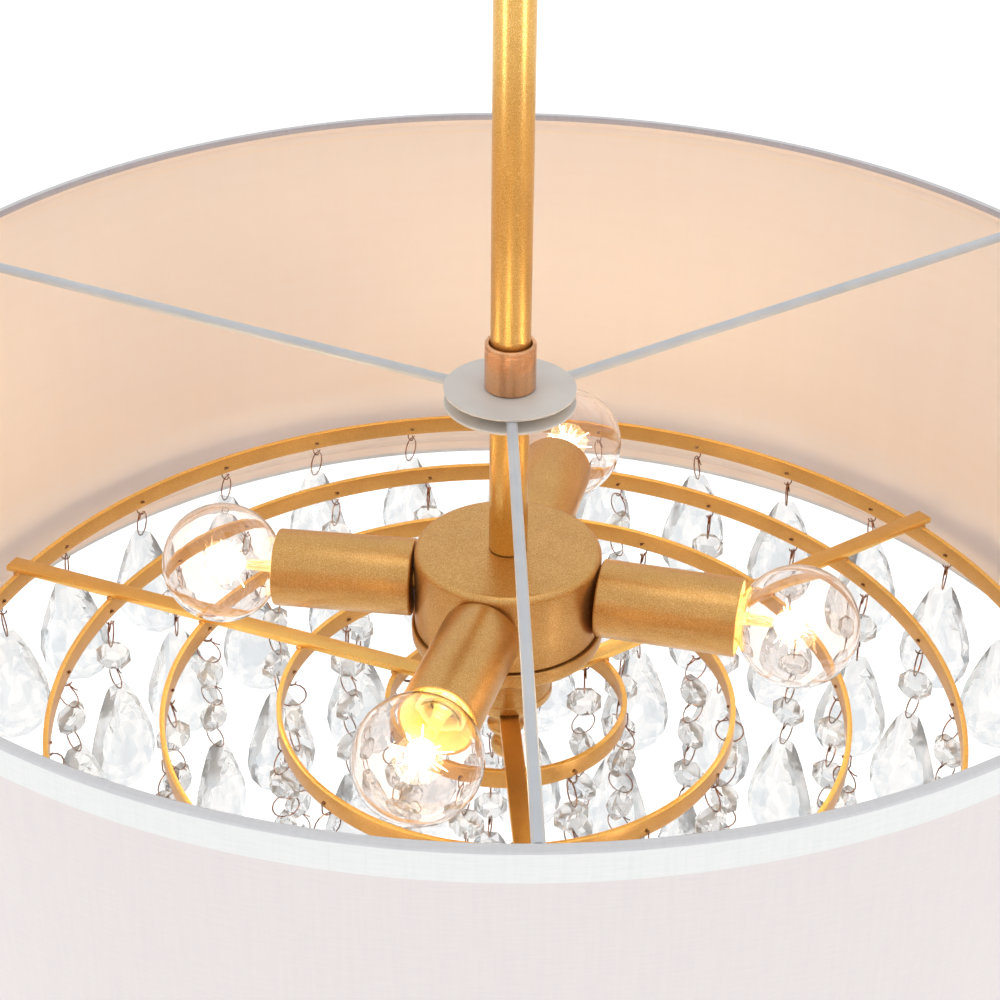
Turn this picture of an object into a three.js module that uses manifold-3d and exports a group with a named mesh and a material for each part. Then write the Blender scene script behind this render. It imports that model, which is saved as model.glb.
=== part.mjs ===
// Drum chandelier: a white fabric drum shade round a cluster of four candle-style
// lamps, over five hoops that carry strands of faceted crystal.
// Millimetres, +Z up. The origin is the middle of the ceiling plane.
import * as THREE from 'three';
import { mergeVertices } from 'three/addons/utils/BufferGeometryUtils.js';
import Module from 'manifold-3d';

// Fits
const seatGap = 0.3;
const cutOverrun = 1;

// Ceiling fitting
const canopyDiameter = 120;
const canopyHeight = 24;
const canopyWall = 1.2;
const canopyCornerRadius = 9;
const crossbarLength = 100;
const crossbarWidth = 20;
const crossbarThickness = 2.5;
const crossbarSlotWidth = 4.6;
const crossbarSlotLength = 16;
const crossbarSlotOffset = 22;
const nippleDiameter = 10;
const nippleBore = 7;
const locknutAcrossFlats = 15;
const locknutHeight = 4;

// Swivel that lets the rod hang straight
const yokeDiameter = 22;
const yokeBodyHeight = 13;
const nippleBite = 10;
const tongueThickness = 8;
const tongueRadius = 6.5;
const pivotPinDiameter = 4;
const pivotHeadDiameter = 7;
const pivotHeadHeight = 2;
const pivotClearance = 0.8;
const earBelowPivot = 5;
const tiltLimitDegrees = 25;

// Rods and the coupling between them
const rodDiameter = 14.2;
const rodWall = 1.4;
const upperRodLength = 300;
const lowerRodLength = 60;
const knuckleWall = 2;
const knuckleRoof = 3;
const knuckleSocketDepth = 12;
const collarWall = 1.7;
const collarHeight = 17.5;
const collarSocketDepth = 11;

// Spider that carries the shade, whose three arms stand a few degrees off even
const armAzimuthsDegrees = [271.7, 32.6, 155.8];
const armDiameter = 3.8;
const armInset = 11;
const discDiameter = 47;
const discThickness = 1;
const rimAboveDisc = 4.2;

// Drum shade
const shadeDiameter = 500;
const shadeHeight = 175;
const shadeWall = 1.2;
const hemHeight = 11;
const hemStandProud = 0.6;
const hoopWireDiameter = 3.2;

// Lamp cluster, whose four arms stand a few degrees off square
const lampAzimuthsDegrees = [254.5, 346.8, 77.4, 173.5];
const housingDiameter = 69.2;
const housingHeight = 31.8;
const housingWall = 1.2;
const housingCornerRadius = 3.5;
const baseCapLip = 1.2;
const baseCapHeight = 6.4;
const baseCapGap = 0.8;
const baseCapSpigotHeight = 3;
const cupDrop = 16.5;
const cupDiameter = 29;
const cupLength = 52;
const cupWall = 1.2;
const cupBackWall = 1.6;
const cupSpigotDiameter = 8;
const cupSpigotLength = 6;
const holderDiameter = 20;
const holderBelowMouth = 6.3;

// Lamps
const globeDiameter = 45;
const globeWall = 1;
const lampBaseDiameter = 13.8;
const lampBaseLength = 22;
const lampTipDiameter = 6;
const lampTipHeight = 2;
const lampNeckDiameter = 13.2;
const lampNeckDrop = 33;
const globeFromMouth = 21.2;
const mountStemDiameter = 5;
const mountStemLength = 26;

// Stem, hub and finial below the housing
const stemHeadDiameter = 10;
const stemHeadLength = 14;
const stemDiameter = 6;
const hubDiameter = 35;
const hubHeight = 25.5;
const hubWall = 1.6;
const hubWasherDiameter = 26;
const hubWasherThickness = 1.5;
const finialBite = 7;
const finialHeight = 27;
const finialDiameter = 14.4;

// Bars and hoops that carry the crystals
const outerHoopDiameter = 440;
const secondHoopDiameter = 350;
const thirdHoopDiameter = 264;
const fourthHoopDiameter = 176;
const innerHoopDiameter = 93;
const barAzimuthsDegrees = [274.2, 35.6, 157.3];
const barWidth = 7.5;
const barThickness = 2.5;
const barInnerRadius = 9;
const barOverhang = 4;
const bandHeight = 8;
const bandThickness = 2;
const hookHoleDrop = 5.2;
const hookFacetShare = 0.125;

// Crystal strands
const wireDiameter = 0.9;
const hookLoopDiameter = 7;
const linkDiameter = 11.5;
const beadHeight = 14;
const beadThickness = 8;
const pendantHeight = 50;
const pendantWidth = 31;
const pendantThickness = 10;
const crystalHoleInset = 1.5;

// Each hoop: outer diameter, strands, beads on a strand and where its first hook is
const hoops = [
  { name: 'outer', diameter: outerHoopDiameter, strands: 30, beads: 0, firstDegrees: 90, facets: 60 },
  { name: 'second', diameter: secondHoopDiameter, strands: 25, beads: 1, firstDegrees: 87.4, facets: 50 },
  { name: 'third', diameter: thirdHoopDiameter, strands: 19, beads: 2, firstDegrees: 82, facets: 38 },
  { name: 'fourth', diameter: fourthHoopDiameter, strands: 13, beads: 3, firstDegrees: 83.3, facets: 26 },
  { name: 'inner', diameter: innerHoopDiameter, strands: 7, beads: 4, firstDegrees: 303, facets: 21 },
];

// How finely round pieces are faceted
const shadeFacets = 48;
const canopyFacets = 24;
const housingFacets = 24;
const discFacets = 24;
const cupFacets = 14;
const rodFacets = 14;
const smallFacets = 10;
const cornerFacets = 2;
const globeFacets = 12;
const globeRings = 4;
const wireFacets = 3;
const armFacets = 6;
const loopSteps = 6;
const spigotFacets = 8;
const loopFacets = 3;

// Outlines as shares of the size that they follow
const pendantShares = [[0, 0.1, 0.2], [0.62, 1, 1], [0.88, 0.68, 0.6], [1, 0.2, 0.2]];
const beadShares = [[0, 0.12, 0.12], [0.5, 1, 1], [1, 0.12, 0.12]];
const finialShares = [
  [0, 0.34], [0.1, 0.3], [0.26, 0.3], [0.5, 0.34], [0.56, 0.5], [0.68, 0.5], [0.8, 0.34], [1, 0.36],
];
const finialBallShare = 0.4;

// Corners of a crystal's section: four for a diamond, three for a ridge that faces outwards
const diamondShares = [[0.5, 0], [0, 0.5], [-0.5, 0], [0, -0.5]];
const ridgeShares = [[0.6, 0], [-0.4, 0.5], [-0.4, -0.5]];

const wasm = await Module();
wasm.setup();
const mergeTolerance = 1e-4;
const halfTurn = Math.PI;
const quarterTurn = Math.PI / 2;
const radians = THREE.MathUtils.degToRad;

// Solids and booleans

function solidOf(geometry) {
  const loose = geometry.index ? geometry.toNonIndexed() : geometry.clone();
  const bare = new THREE.BufferGeometry().setAttribute('position', loose.getAttribute('position'));
  const merged = mergeVertices(bare, mergeTolerance);
  return new wasm.Manifold(new wasm.Mesh({
    numProp: 3,
    vertProperties: merged.attributes.position.array,
    triVerts: new Uint32Array(merged.index.array),
  }));
}

function geometryOf(solid) {
  const mesh = solid.getMesh();
  const geometry = new THREE.BufferGeometry();
  geometry.setAttribute('position', new THREE.Float32BufferAttribute(mesh.vertProperties, 3));
  geometry.setIndex(Array.from(mesh.triVerts));
  const flat = geometry.toNonIndexed();
  flat.computeVertexNormals();
  return flat;
}

function join(first, ...others) {
  return geometryOf(others.reduce((whole, other) => whole.add(solidOf(other)), solidOf(first)));
}

function cut(first, ...others) {
  return geometryOf(others.reduce((whole, other) => whole.subtract(solidOf(other)), solidOf(first)));
}

// A profile of [radius, height] pairs, counter-clockwise, turned about Z
function turned(profile, facets) {
  const points = profile.map(([radius, height]) => new THREE.Vector2(radius, height));
  return new THREE.LatheGeometry(points, facets).rotateX(quarterTurn);
}

function cylinder(radius, low, high, facets) {
  return turned([[0, low], [radius, low], [radius, high], [0, high]], facets);
}

function tube(outerRadius, innerRadius, low, high, facets) {
  const corners = [[outerRadius, low], [outerRadius, high], [innerRadius, high], [innerRadius, low]];
  return turned([...corners, corners[0]], facets);
}

// Points of a quarter or half round, in the plane of a turned profile
function roundCorner(centreRadius, centreHeight, radius, fromDegrees, toDegrees, steps = cornerFacets) {
  return Array.from({ length: steps + 1 }, (_, i) => {
    const angle = radians(fromDegrees + ((toDegrees - fromDegrees) * i) / steps);
    return [centreRadius + radius * Math.cos(angle), centreHeight + radius * Math.sin(angle)];
  });
}

function slab(shape, low, high) {
  return new THREE.ExtrudeGeometry(shape, {
    depth: high - low, bevelEnabled: false, curveSegments: cornerFacets,
  }).translate(0, 0, low);
}

// A flat bar along X, from one x to another, with rounded ends where asked
function barShape(fromX, toX, width, roundStart, roundEnd) {
  const half = width / 2;
  const shape = new THREE.Shape();
  shape.moveTo(fromX + (roundStart ? half : 0), -half);
  shape.lineTo(toX - (roundEnd ? half : 0), -half);
  if (roundEnd) shape.absarc(toX - half, 0, half, -quarterTurn, quarterTurn, false);
  else shape.lineTo(toX, half);
  shape.lineTo(fromX + (roundStart ? half : 0), half);
  if (roundStart) shape.absarc(fromX + half, 0, half, quarterTurn, 3 * quarterTurn, false);
  return shape;
}

function roundRod(points, diameter, sides, steps) {
  const outline = new THREE.Shape();
  outline.absarc(0, 0, diameter / 2, 0, 2 * halfTurn, false);
  const path = new THREE.CatmullRomCurve3(points.map((point) => new THREE.Vector3(...point)));
  const corners = outline.getSpacedPoints(sides).slice(0, sides);
  return new THREE.ExtrudeGeometry(new THREE.Shape(corners), {
    steps, extrudePath: path, bevelEnabled: false,
  });
}

// The section of a wire that is turned into a ring
function wireSection(ringRadius, height, wireRadius, sides) {
  return Array.from({ length: sides + 1 }, (_, i) => {
    const angle = (2 * halfTurn * (i % sides)) / sides;
    return [ringRadius + wireRadius * Math.cos(angle), height + wireRadius * Math.sin(angle)];
  });
}

// A closed loop of wire about the origin, in the plane of X and Z, flat at its top
function wireLoop(diameter) {
  const centreline = (diameter - wireDiameter) / 2 / Math.cos(halfTurn / loopSteps);
  return turned(wireSection(centreline, 0, wireDiameter / 2, loopFacets), loopSteps)
    .rotateZ(halfTurn / loopSteps).rotateX(quarterTurn);
}

// A closed body through like sections, each [z, width along Y, thickness along X], whose
// corners are shares of thickness and width
function facetedLoft(sections, cornerShares) {
  const positions = [];
  const rings = sections.map(([z, width, thickness]) => cornerShares.map(
    ([thicknessShare, widthShare]) => [thickness * thicknessShare, width * widthShare, z]));
  const face = (...corners) => positions.push(...corners.flat());
  rings.slice(1).forEach((lower, row) => {
    const upper = rings[row];
    lower.forEach((corner, i) => {
      const next = (i + 1) % lower.length;
      face(upper[i], corner, lower[next]);
      face(upper[i], lower[next], upper[next]);
    });
  });
  const [top, bottom] = [rings[0], rings[rings.length - 1]];
  for (let i = 1; i < cornerShares.length - 1; i += 1) {
    face(top[0], top[i], top[i + 1]);
    face(bottom[0], bottom[i + 1], bottom[i]);
  }
  return new THREE.BufferGeometry().setAttribute(
    'position', new THREE.Float32BufferAttribute(positions, 3));
}

// The scene graph

const chandelier = new THREE.Group();

function add(name, geometry, finish, parent = chandelier) {
  const mesh = new THREE.Mesh(geometry, finish());
  mesh.name = name;
  parent.add(mesh);
  return mesh;
}

function spoke(degrees, height = 0) {
  const group = new THREE.Group();
  group.rotation.z = radians(degrees);
  group.position.z = height;
  chandelier.add(group);
  return group;
}

// Finishes, one material for each mesh
const material = (color, roughness, metalness) =>
  new THREE.MeshStandardMaterial({ color, roughness, metalness });
const goldPaint = () => material(0xd9a04e, 0.4, 0.75);
const bronzePlate = () => material(0xa0714a, 0.5, 0.7);
const whitePaint = () => material(0xcfcac6, 0.45, 0.1);
const shadeFabric = () => material(0xece6e4, 0.9, 0);
const zincPlate = () => material(0xb4b6b8, 0.4, 0.8);
const lampGlass = () => Object.assign(material(0xf4ead8, 0.05, 0), { transparent: true, opacity: 0.4 });
const holderCeramic = () => material(0xf2e2b8, 0.4, 0);
const nickel = () => material(0xc9c4b8, 0.3, 0.9);
const crystal = () => material(0xe6eaee, 0.05, 0);

// Heights of the stack, from the ceiling down

const rodRadius = rodDiameter / 2;
const nippleRadius = nippleDiameter / 2;
const stemRadius = stemDiameter / 2;
const canopyBottom = -canopyHeight;
const yokeTop = canopyBottom - seatGap;
const yokeBodyBottom = yokeTop - yokeBodyHeight;
const pivotHeight = yokeBodyBottom - tongueRadius - pivotClearance;
const earBottom = pivotHeight - earBelowPivot;
const knuckleRadius = rodRadius + seatGap + knuckleWall;
const tiltLimit = radians(tiltLimitDegrees);
const knuckleDrop = (earBelowPivot + pivotClearance + knuckleRadius * Math.sin(tiltLimit))
  / Math.cos(tiltLimit);
const knuckleTop = pivotHeight - knuckleDrop;
const upperRodTop = knuckleTop - knuckleRoof - seatGap;
const upperRodBottom = upperRodTop - upperRodLength;
const collarSocketFloor = upperRodBottom - seatGap;
const collarTop = collarSocketFloor + collarSocketDepth;
const collarBottom = collarTop - collarHeight;
const discTop = collarBottom - seatGap;
const armHeight = discTop - discThickness - seatGap - armDiameter / 2;
const lowerDiscTop = armHeight - armDiameter / 2 - seatGap;
const lowerRodTop = lowerDiscTop - discThickness - seatGap;
const lowerRodBottom = lowerRodTop - lowerRodLength;
const shadeTop = discTop + rimAboveDisc;
const shadeBottom = shadeTop - shadeHeight;
const housingTop = lowerRodBottom - seatGap;
const housingBottom = housingTop - housingHeight;
const lampHeight = housingTop - cupDrop;
const baseCapTop = housingBottom - baseCapGap;
const baseCapBottom = baseCapTop - baseCapHeight;
const hubTop = baseCapBottom - seatGap;
const hubBottom = hubTop - hubHeight;
const barTop = hubBottom - seatGap;
const barBottom = barTop - barThickness;
const bandTop = barBottom - seatGap;
const bandBottom = bandTop - bandHeight;
const hookHeight = bandTop - hookHoleDrop;
const washerTop = barBottom - seatGap;
const finialTop = washerTop - hubWasherThickness - seatGap;

// Ceiling fitting: crossbar, nipple, locknut and canopy

const holeFor = (diameter) => diameter / 2 + seatGap;

function crossbarSolid() {
  const plate = slab(
    barShape(-crossbarLength / 2, crossbarLength / 2, crossbarWidth, true, true), -crossbarThickness, 0);
  const low = -crossbarThickness - cutOverrun;
  const slots = [-1, 1].map((side) => slab(barShape(
    side * crossbarSlotOffset - crossbarSlotLength / 2,
    side * crossbarSlotOffset + crossbarSlotLength / 2, crossbarSlotWidth, true, true), low, cutOverrun));
  return cut(plate, ...slots, cylinder(holeFor(nippleDiameter), low, cutOverrun, rodFacets));
}

function canopySolid() {
  const outer = canopyDiameter / 2;
  const inner = outer - canopyWall;
  const innerCorner = canopyCornerRadius - canopyWall;
  const hole = holeFor(nippleDiameter);
  const cornerHeight = canopyBottom + canopyCornerRadius;
  const centre = outer - canopyCornerRadius;
  return turned([
    [hole, canopyBottom],
    ...roundCorner(centre, cornerHeight, canopyCornerRadius, -90, 0),
    [outer, 0], [inner, 0],
    ...roundCorner(centre, cornerHeight, innerCorner, 0, -90),
    [hole, canopyBottom + canopyWall], [hole, canopyBottom],
  ], canopyFacets);
}

function locknutSolid() {
  const high = -crossbarThickness - seatGap;
  const hexagon = turned([
    [0, high - locknutHeight], [locknutAcrossFlats / Math.sqrt(3), high - locknutHeight],
    [locknutAcrossFlats / Math.sqrt(3), high], [0, high],
  ], 6);
  return cut(hexagon, cylinder(
    holeFor(nippleDiameter), high - locknutHeight - cutOverrun, high + cutOverrun, rodFacets));
}

add('crossbar', crossbarSolid(), zincPlate);
add('ceiling_nipple',
  tube(nippleRadius, nippleBore / 2, yokeTop - nippleBite, -seatGap, rodFacets), zincPlate);
add('nipple_locknut', locknutSolid(), zincPlate);
add('canopy', canopySolid(), goldPaint);

// Swivel: a forked yoke, a pin and the knuckle that grips the rod

function acrossY(radius, low, high, facets) {
  return cylinder(radius, low, high, facets).rotateX(-quarterTurn).translate(0, 0, pivotHeight);
}

function yokeSolid() {
  const radius = yokeDiameter / 2;
  const slotHalf = tongueThickness / 2 + seatGap;
  const slot = new THREE.BoxGeometry(
    yokeDiameter + 2 * cutOverrun, 2 * slotHalf, yokeBodyBottom - earBottom + cutOverrun);
  slot.translate(0, 0, (yokeBodyBottom + earBottom - cutOverrun) / 2);
  return cut(
    cylinder(radius, earBottom, yokeTop, rodFacets), slot,
    cylinder(holeFor(nippleDiameter), yokeTop - nippleBite - seatGap, yokeTop + cutOverrun, rodFacets),
    acrossY(holeFor(pivotPinDiameter), -radius - cutOverrun, radius + cutOverrun, smallFacets));
}

function pinSolid() {
  const shank = pivotPinDiameter / 2;
  const head = pivotHeadDiameter / 2;
  const inside = yokeDiameter / 2 + seatGap;
  const end = inside + pivotHeadHeight;
  return turned([
    [0, -end], [head, -end], [head, -inside], [shank, -inside],
    [shank, inside], [head, inside], [head, end], [0, end],
  ], smallFacets).rotateX(-quarterTurn).translate(0, 0, pivotHeight);
}

function knuckleSolid() {
  const socketFloor = knuckleTop - knuckleRoof;
  const tongue = join(
    acrossY(tongueRadius, -tongueThickness / 2, tongueThickness / 2, rodFacets),
    new THREE.BoxGeometry(2 * tongueRadius, tongueThickness, knuckleDrop + cutOverrun)
      .translate(0, 0, (pivotHeight + knuckleTop - cutOverrun) / 2));
  const grip = cylinder(knuckleRadius, socketFloor - knuckleSocketDepth, knuckleTop, rodFacets);
  return cut(
    join(grip, tongue),
    cylinder(holeFor(rodDiameter), socketFloor - knuckleSocketDepth - cutOverrun, socketFloor, rodFacets),
    acrossY(holeFor(pivotPinDiameter), -tongueThickness, tongueThickness, smallFacets));
}

add('swivel_yoke', yokeSolid(), goldPaint);
add('swivel_pin', pinSolid(), goldPaint);
add('swivel_knuckle', knuckleSolid(), goldPaint);

// Rods, coupling collar and the spider's clamp discs

function collarSolid() {
  const outer = rodRadius + seatGap + collarWall;
  const socket = rodRadius + seatGap;
  const bore = holeFor(nippleDiameter);
  return turned([
    [bore, collarBottom], [outer, collarBottom], [outer, collarTop], [socket, collarTop],
    [socket, collarSocketFloor], [bore, collarSocketFloor], [bore, collarBottom],
  ], rodFacets);
}

const nippleGrip = (rodDiameter - 2 * rodWall) / 2;
add('upper_rod', tube(rodRadius, rodRadius - rodWall, upperRodBottom, upperRodTop, rodFacets), goldPaint);
add('coupling_collar', collarSolid(), bronzePlate);
add('rod_nipple', tube(
  nippleRadius, nippleBore / 2, lowerRodTop - nippleGrip, collarSocketFloor + nippleGrip, rodFacets),
zincPlate);
[['upper', discTop], ['lower', lowerDiscTop]].forEach(([place, high]) => {
  add(`spider_disc_${place}`,
    tube(discDiameter / 2, holeFor(nippleDiameter), high - discThickness, high, discFacets), whitePaint);
});
add('lower_rod', tube(rodRadius, rodRadius - rodWall, lowerRodBottom, lowerRodTop, rodFacets), goldPaint);

// Spider arms and the shade, with the wire in its top hem that the arms end at

const hoopWireRadius = hoopWireDiameter / 2;
const hoopWireCentre = shadeDiameter / 2 - hemStandProud - shadeWall - seatGap - hoopWireRadius;
const topWireHeight = shadeTop - hoopWireRadius;

function armSolid() {
  const discEdge = discDiameter / 2;
  const end = hoopWireCentre - hoopWireRadius - seatGap;
  return roundRod([
    [armInset, 0, armHeight], [discEdge, 0, armHeight],
    [(discEdge + end) / 2, 0, (armHeight + topWireHeight) / 2], [end, 0, topWireHeight],
  ], armDiameter, armFacets, 2 * cornerFacets);
}

function hoopWireSolid() {
  return turned(wireSection(hoopWireCentre, topWireHeight, hoopWireRadius, wireFacets), shadeFacets);
}

function shadeSolid() {
  const hemOuter = shadeDiameter / 2;
  const outer = hemOuter - hemStandProud;
  const inner = outer - shadeWall;
  const upperHem = shadeTop - hemHeight;
  const lowerHem = shadeBottom + hemHeight;
  return turned([
    [inner, shadeBottom], [hemOuter, shadeBottom], [hemOuter, lowerHem], [outer, lowerHem],
    [outer, upperHem], [hemOuter, upperHem], [hemOuter, shadeTop], [inner, shadeTop],
    [inner, shadeBottom],
  ], shadeFacets);
}

armAzimuthsDegrees.forEach((azimuth, i) => {
  add(`spider_arm_${i + 1}`, armSolid(), whitePaint, spoke(azimuth));
});
add('shade_top_wire', hoopWireSolid(), whitePaint);
add('drum_shade', shadeSolid(), shadeFabric);

// Housing of the lamp cluster, its base cap, and the stem, hub and finial on its axis

const housingRadius = housingDiameter / 2;

function housingSolid() {
  const inner = housingRadius - housingWall;
  const hole = holeFor(stemHeadDiameter);
  const centre = housingRadius - housingCornerRadius;
  const cornerHeight = housingTop - housingCornerRadius;
  const shell = turned([
    [inner, housingBottom], [housingRadius, housingBottom],
    ...roundCorner(centre, cornerHeight, housingCornerRadius, 0, 90),
    [hole, housingTop], [hole, housingTop - housingWall],
    ...roundCorner(centre, cornerHeight, housingCornerRadius - housingWall, 90, 0, 2),
    [inner, housingBottom],
  ], housingFacets);
  const spigotHole = holeFor(cupSpigotDiameter) / Math.cos(halfTurn / spigotFacets);
  const spigotHoles = lampAzimuthsDegrees.map((azimuth) =>
    cylinder(spigotHole, inner / 2, housingRadius + cutOverrun, spigotFacets)
      .rotateY(quarterTurn)
      .rotateZ(radians(azimuth))
      .translate(0, 0, lampHeight));
  return cut(shell, ...spigotHoles);
}

function baseCapSolid() {
  const outer = housingRadius + baseCapLip;
  const spigotOuter = housingRadius - housingWall - seatGap;
  const spigotInner = spigotOuter - housingWall;
  const hole = holeFor(stemDiameter);
  const floor = baseCapBottom + housingWall;
  return turned([
    [hole, baseCapBottom], [outer - housingWall, baseCapBottom], [outer, floor], [outer, baseCapTop],
    [spigotOuter, baseCapTop], [spigotOuter, baseCapTop + baseCapGap + baseCapSpigotHeight],
    [spigotInner, baseCapTop + baseCapGap + baseCapSpigotHeight], [spigotInner, floor], [hole, floor],
    [hole, baseCapBottom],
  ], housingFacets);
}

function hubSolid() {
  const outer = hubDiameter / 2;
  const inner = outer - hubWall;
  const hole = holeFor(stemDiameter);
  return turned([
    [inner, hubBottom], [outer, hubBottom], [outer, hubTop], [hole, hubTop],
    [hole, hubTop - hubWall], [inner, hubTop - hubWall], [inner, hubBottom],
  ], rodFacets);
}

function stemSolid() {
  const head = stemHeadDiameter / 2;
  const shoulder = housingTop - housingWall - seatGap - stemHeadLength / 3;
  return turned([
    [0, finialTop - finialBite], [stemRadius, finialTop - finialBite], [stemRadius, shoulder],
    [head, shoulder], [head, shoulder + stemHeadLength], [0, shoulder + stemHeadLength],
  ], smallFacets);
}

function finialSolid() {
  const ball = finialBallShare * finialDiameter;
  const ballCentre = finialTop - finialHeight + ball;
  const bell = finialShares.map(([dropShare, radiusShare]) =>
    [radiusShare * finialDiameter, finialTop - dropShare * (finialHeight - 2 * ball)]);
  const body = turned([
    ...roundCorner(0, ballCentre, ball, -90, 60, 2 * cornerFacets), ...bell.reverse(), [0, finialTop],
  ], rodFacets);
  return cut(body, cylinder(
    holeFor(stemDiameter), finialTop - finialBite - seatGap, finialTop + cutOverrun, smallFacets));
}

add('lamp_housing', housingSolid(), goldPaint);
add('housing_base_cap', baseCapSolid(), goldPaint);
add('centre_stem', stemSolid(), zincPlate);
add('bar_hub', hubSolid(), goldPaint);
add('hub_washer', tube(
  hubWasherDiameter / 2, holeFor(stemDiameter), washerTop - hubWasherThickness, washerTop, rodFacets),
goldPaint);
add('finial', finialSolid(), goldPaint);

// Lamp arms: cup, lamp holder, and the lamp with its base, filament and glass

const cupStart = housingRadius + seatGap;
const cupEnd = cupStart + cupLength;
const holderStart = cupStart + cupBackWall + seatGap;
const holderEnd = cupEnd - holderBelowMouth;
const globeCentre = cupEnd + globeFromMouth;
const lampBaseTop = globeCentre - lampNeckDrop - seatGap;
const lampBaseBottom = lampBaseTop - lampBaseLength;
const lampTip = lampBaseBottom - lampTipHeight;
const alongX = (geometry) => geometry.rotateY(quarterTurn);

function cupSolid() {
  const outer = cupDiameter / 2;
  const inner = outer - cupWall;
  const spigot = cupSpigotDiameter / 2;
  return alongX(turned([
    [0, cupStart - cupSpigotLength], [spigot, cupStart - cupSpigotLength], [spigot, cupStart],
    [outer, cupStart], [outer, cupEnd], [inner, cupEnd], [inner, cupStart + cupBackWall],
    [0, cupStart + cupBackWall],
  ], cupFacets));
}

function holderSolid() {
  const outer = holderDiameter / 2;
  const bore = holeFor(lampBaseDiameter);
  return alongX(turned([
    [0, holderStart], [outer, holderStart], [outer, holderEnd], [bore, holderEnd],
    [bore, lampTip - seatGap], [0, lampTip - seatGap],
  ], rodFacets));
}

function glassProfile(shrink) {
  const radius = globeDiameter / 2 - shrink;
  const neck = lampNeckDiameter / 2 - shrink;
  const neckEnd = globeCentre - lampNeckDrop - (shrink > 0 ? cutOverrun : 0);
  return [
    [0, neckEnd], [neck, neckEnd], [neck, holderEnd + seatGap],
    ...roundCorner(0, globeCentre, radius, -62, 90, globeRings),
  ];
}

function glassSolid() {
  return cut(
    alongX(turned(glassProfile(0), globeFacets)), alongX(turned(glassProfile(globeWall), globeFacets)));
}

function lampBaseSolid() {
  const outer = lampBaseDiameter / 2;
  const tip = lampTipDiameter / 2;
  const mount = mountStemDiameter / 2;
  const mountEnd = lampBaseTop + mountStemLength;
  return alongX(turned([
    [0, lampTip], [tip, lampTip], [outer, lampBaseBottom], [outer, lampBaseTop],
    [mount, lampBaseTop], [mount / 2, mountEnd], [0, mountEnd],
  ], smallFacets));
}

for (let i = 0; i < lampAzimuthsDegrees.length; i += 1) {
  const arm = spoke(lampAzimuthsDegrees[i], lampHeight);
  add(`socket_cup_${i + 1}`, cupSolid(), goldPaint, arm);
  add(`lamp_holder_${i + 1}`, holderSolid(), holderCeramic, arm);
  add(`lamp_base_${i + 1}`, lampBaseSolid(), nickel, arm);
  add(`lamp_glass_${i + 1}`, glassSolid(), lampGlass, arm);
}

// Flat bars that lie on the hoops

barAzimuthsDegrees.forEach((azimuth, i) => {
  const outline = barShape(barInnerRadius, hoops[0].diameter / 2 + barOverhang, barWidth, false, true);
  add(`hoop_bar_${i + 1}`, slab(outline, barBottom, barTop), goldPaint, spoke(azimuth));
});

// Crystal strands: a hook, then links and beads by turns, then a pendant

const hookReach = hookLoopDiameter - wireDiameter;
const linkReach = linkDiameter - wireDiameter;
const beadReach = beadHeight - 2 * crystalHoleInset;

// The heights of a strand's pieces below its hook, each [kind, top, bottom]
function strandPieces(beads) {
  const pieces = [['hook', 0, -hookReach]];
  let height = -hookReach;
  for (let i = 0; i <= beads; i += 1) {
    pieces.push(['link', height, height - linkReach]);
    height -= linkReach;
    const last = i === beads;
    const top = height + crystalHoleInset;
    pieces.push([last ? 'pendant' : 'bead', top, top - (last ? pendantHeight : beadHeight)]);
    height -= beadReach;
  }
  return pieces;
}

const isCrystal = ([kind]) => kind === 'bead' || kind === 'pendant';

function crystalSections([kind, top, bottom]) {
  const pendant = kind === 'pendant';
  const [shares, width, thickness] = pendant
    ? [pendantShares, pendantWidth, pendantThickness]
    : [beadShares, beadHeight, beadThickness];
  return shares.map(([dropShare, widthShare, thicknessShare]) =>
    [top + (bottom - top) * dropShare, width * widthShare, thickness * thicknessShare]);
}

// A strand as one body with plain wire between its crystals, from a height above the hook down
function plainStrand(beads, wireTop) {
  const crystals = strandPieces(beads).filter(isCrystal);
  const wireEnd = [wireTop, wireDiameter, wireDiameter];
  return facetedLoft([wireEnd, ...crystals.flatMap(crystalSections)], ridgeShares);
}

// A strand that swings: its hook loop and first link are real loops, and it goes on plain
function linkedStrand(beads) {
  const [hook, link, ...rest] = strandPieces(beads);
  const middle = ([, top, bottom]) => (top + bottom) / 2;
  const crystals = rest.filter(isCrystal);
  return join(
    wireLoop(hookLoopDiameter).translate(0, 0, middle(hook)),
    wireLoop(linkDiameter).rotateZ(quarterTurn).translate(0, 0, middle(link)),
    facetedLoft(crystals.flatMap(crystalSections), diamondShares));
}

// Hoops: a band on edge with its strands, each hook a little way along a facet

const hookRadius = (hoop) => (hoop.diameter - bandThickness) / 2;
const hookDegrees = (hoop, i) => hoop.firstDegrees + (360 * i) / hoop.strands;

function bandSolid({ diameter, facets, firstDegrees }) {
  return tube(diameter / 2, diameter / 2 - bandThickness, bandBottom, bandTop, facets)
    .rotateZ(radians(firstDegrees) + quarterTurn - (2 * halfTurn * hookFacetShare) / facets);
}

function fusedHoop(hoop) {
  const wireTop = bandBottom + hookFacetShare * bandHeight - hookHeight;
  const strands = Array.from({ length: hoop.strands }, (_, i) => plainStrand(hoop.beads, wireTop)
    .translate(hookRadius(hoop), 0, hookHeight)
    .rotateZ(radians(hookDegrees(hoop, i))));
  return join(bandSolid(hoop), ...strands);
}

function piercedHoop(hoop) {
  const holes = Array.from({ length: hoop.strands }, (_, i) => alongX(cylinder(
    wireDiameter, hoop.diameter / 2 - bandThickness - cutOverrun, hoop.diameter / 2 + cutOverrun, loopSteps))
    .translate(0, 0, hookHeight)
    .rotateZ(radians(hookDegrees(hoop, i))));
  return cut(bandSolid(hoop), ...holes);
}

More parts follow.
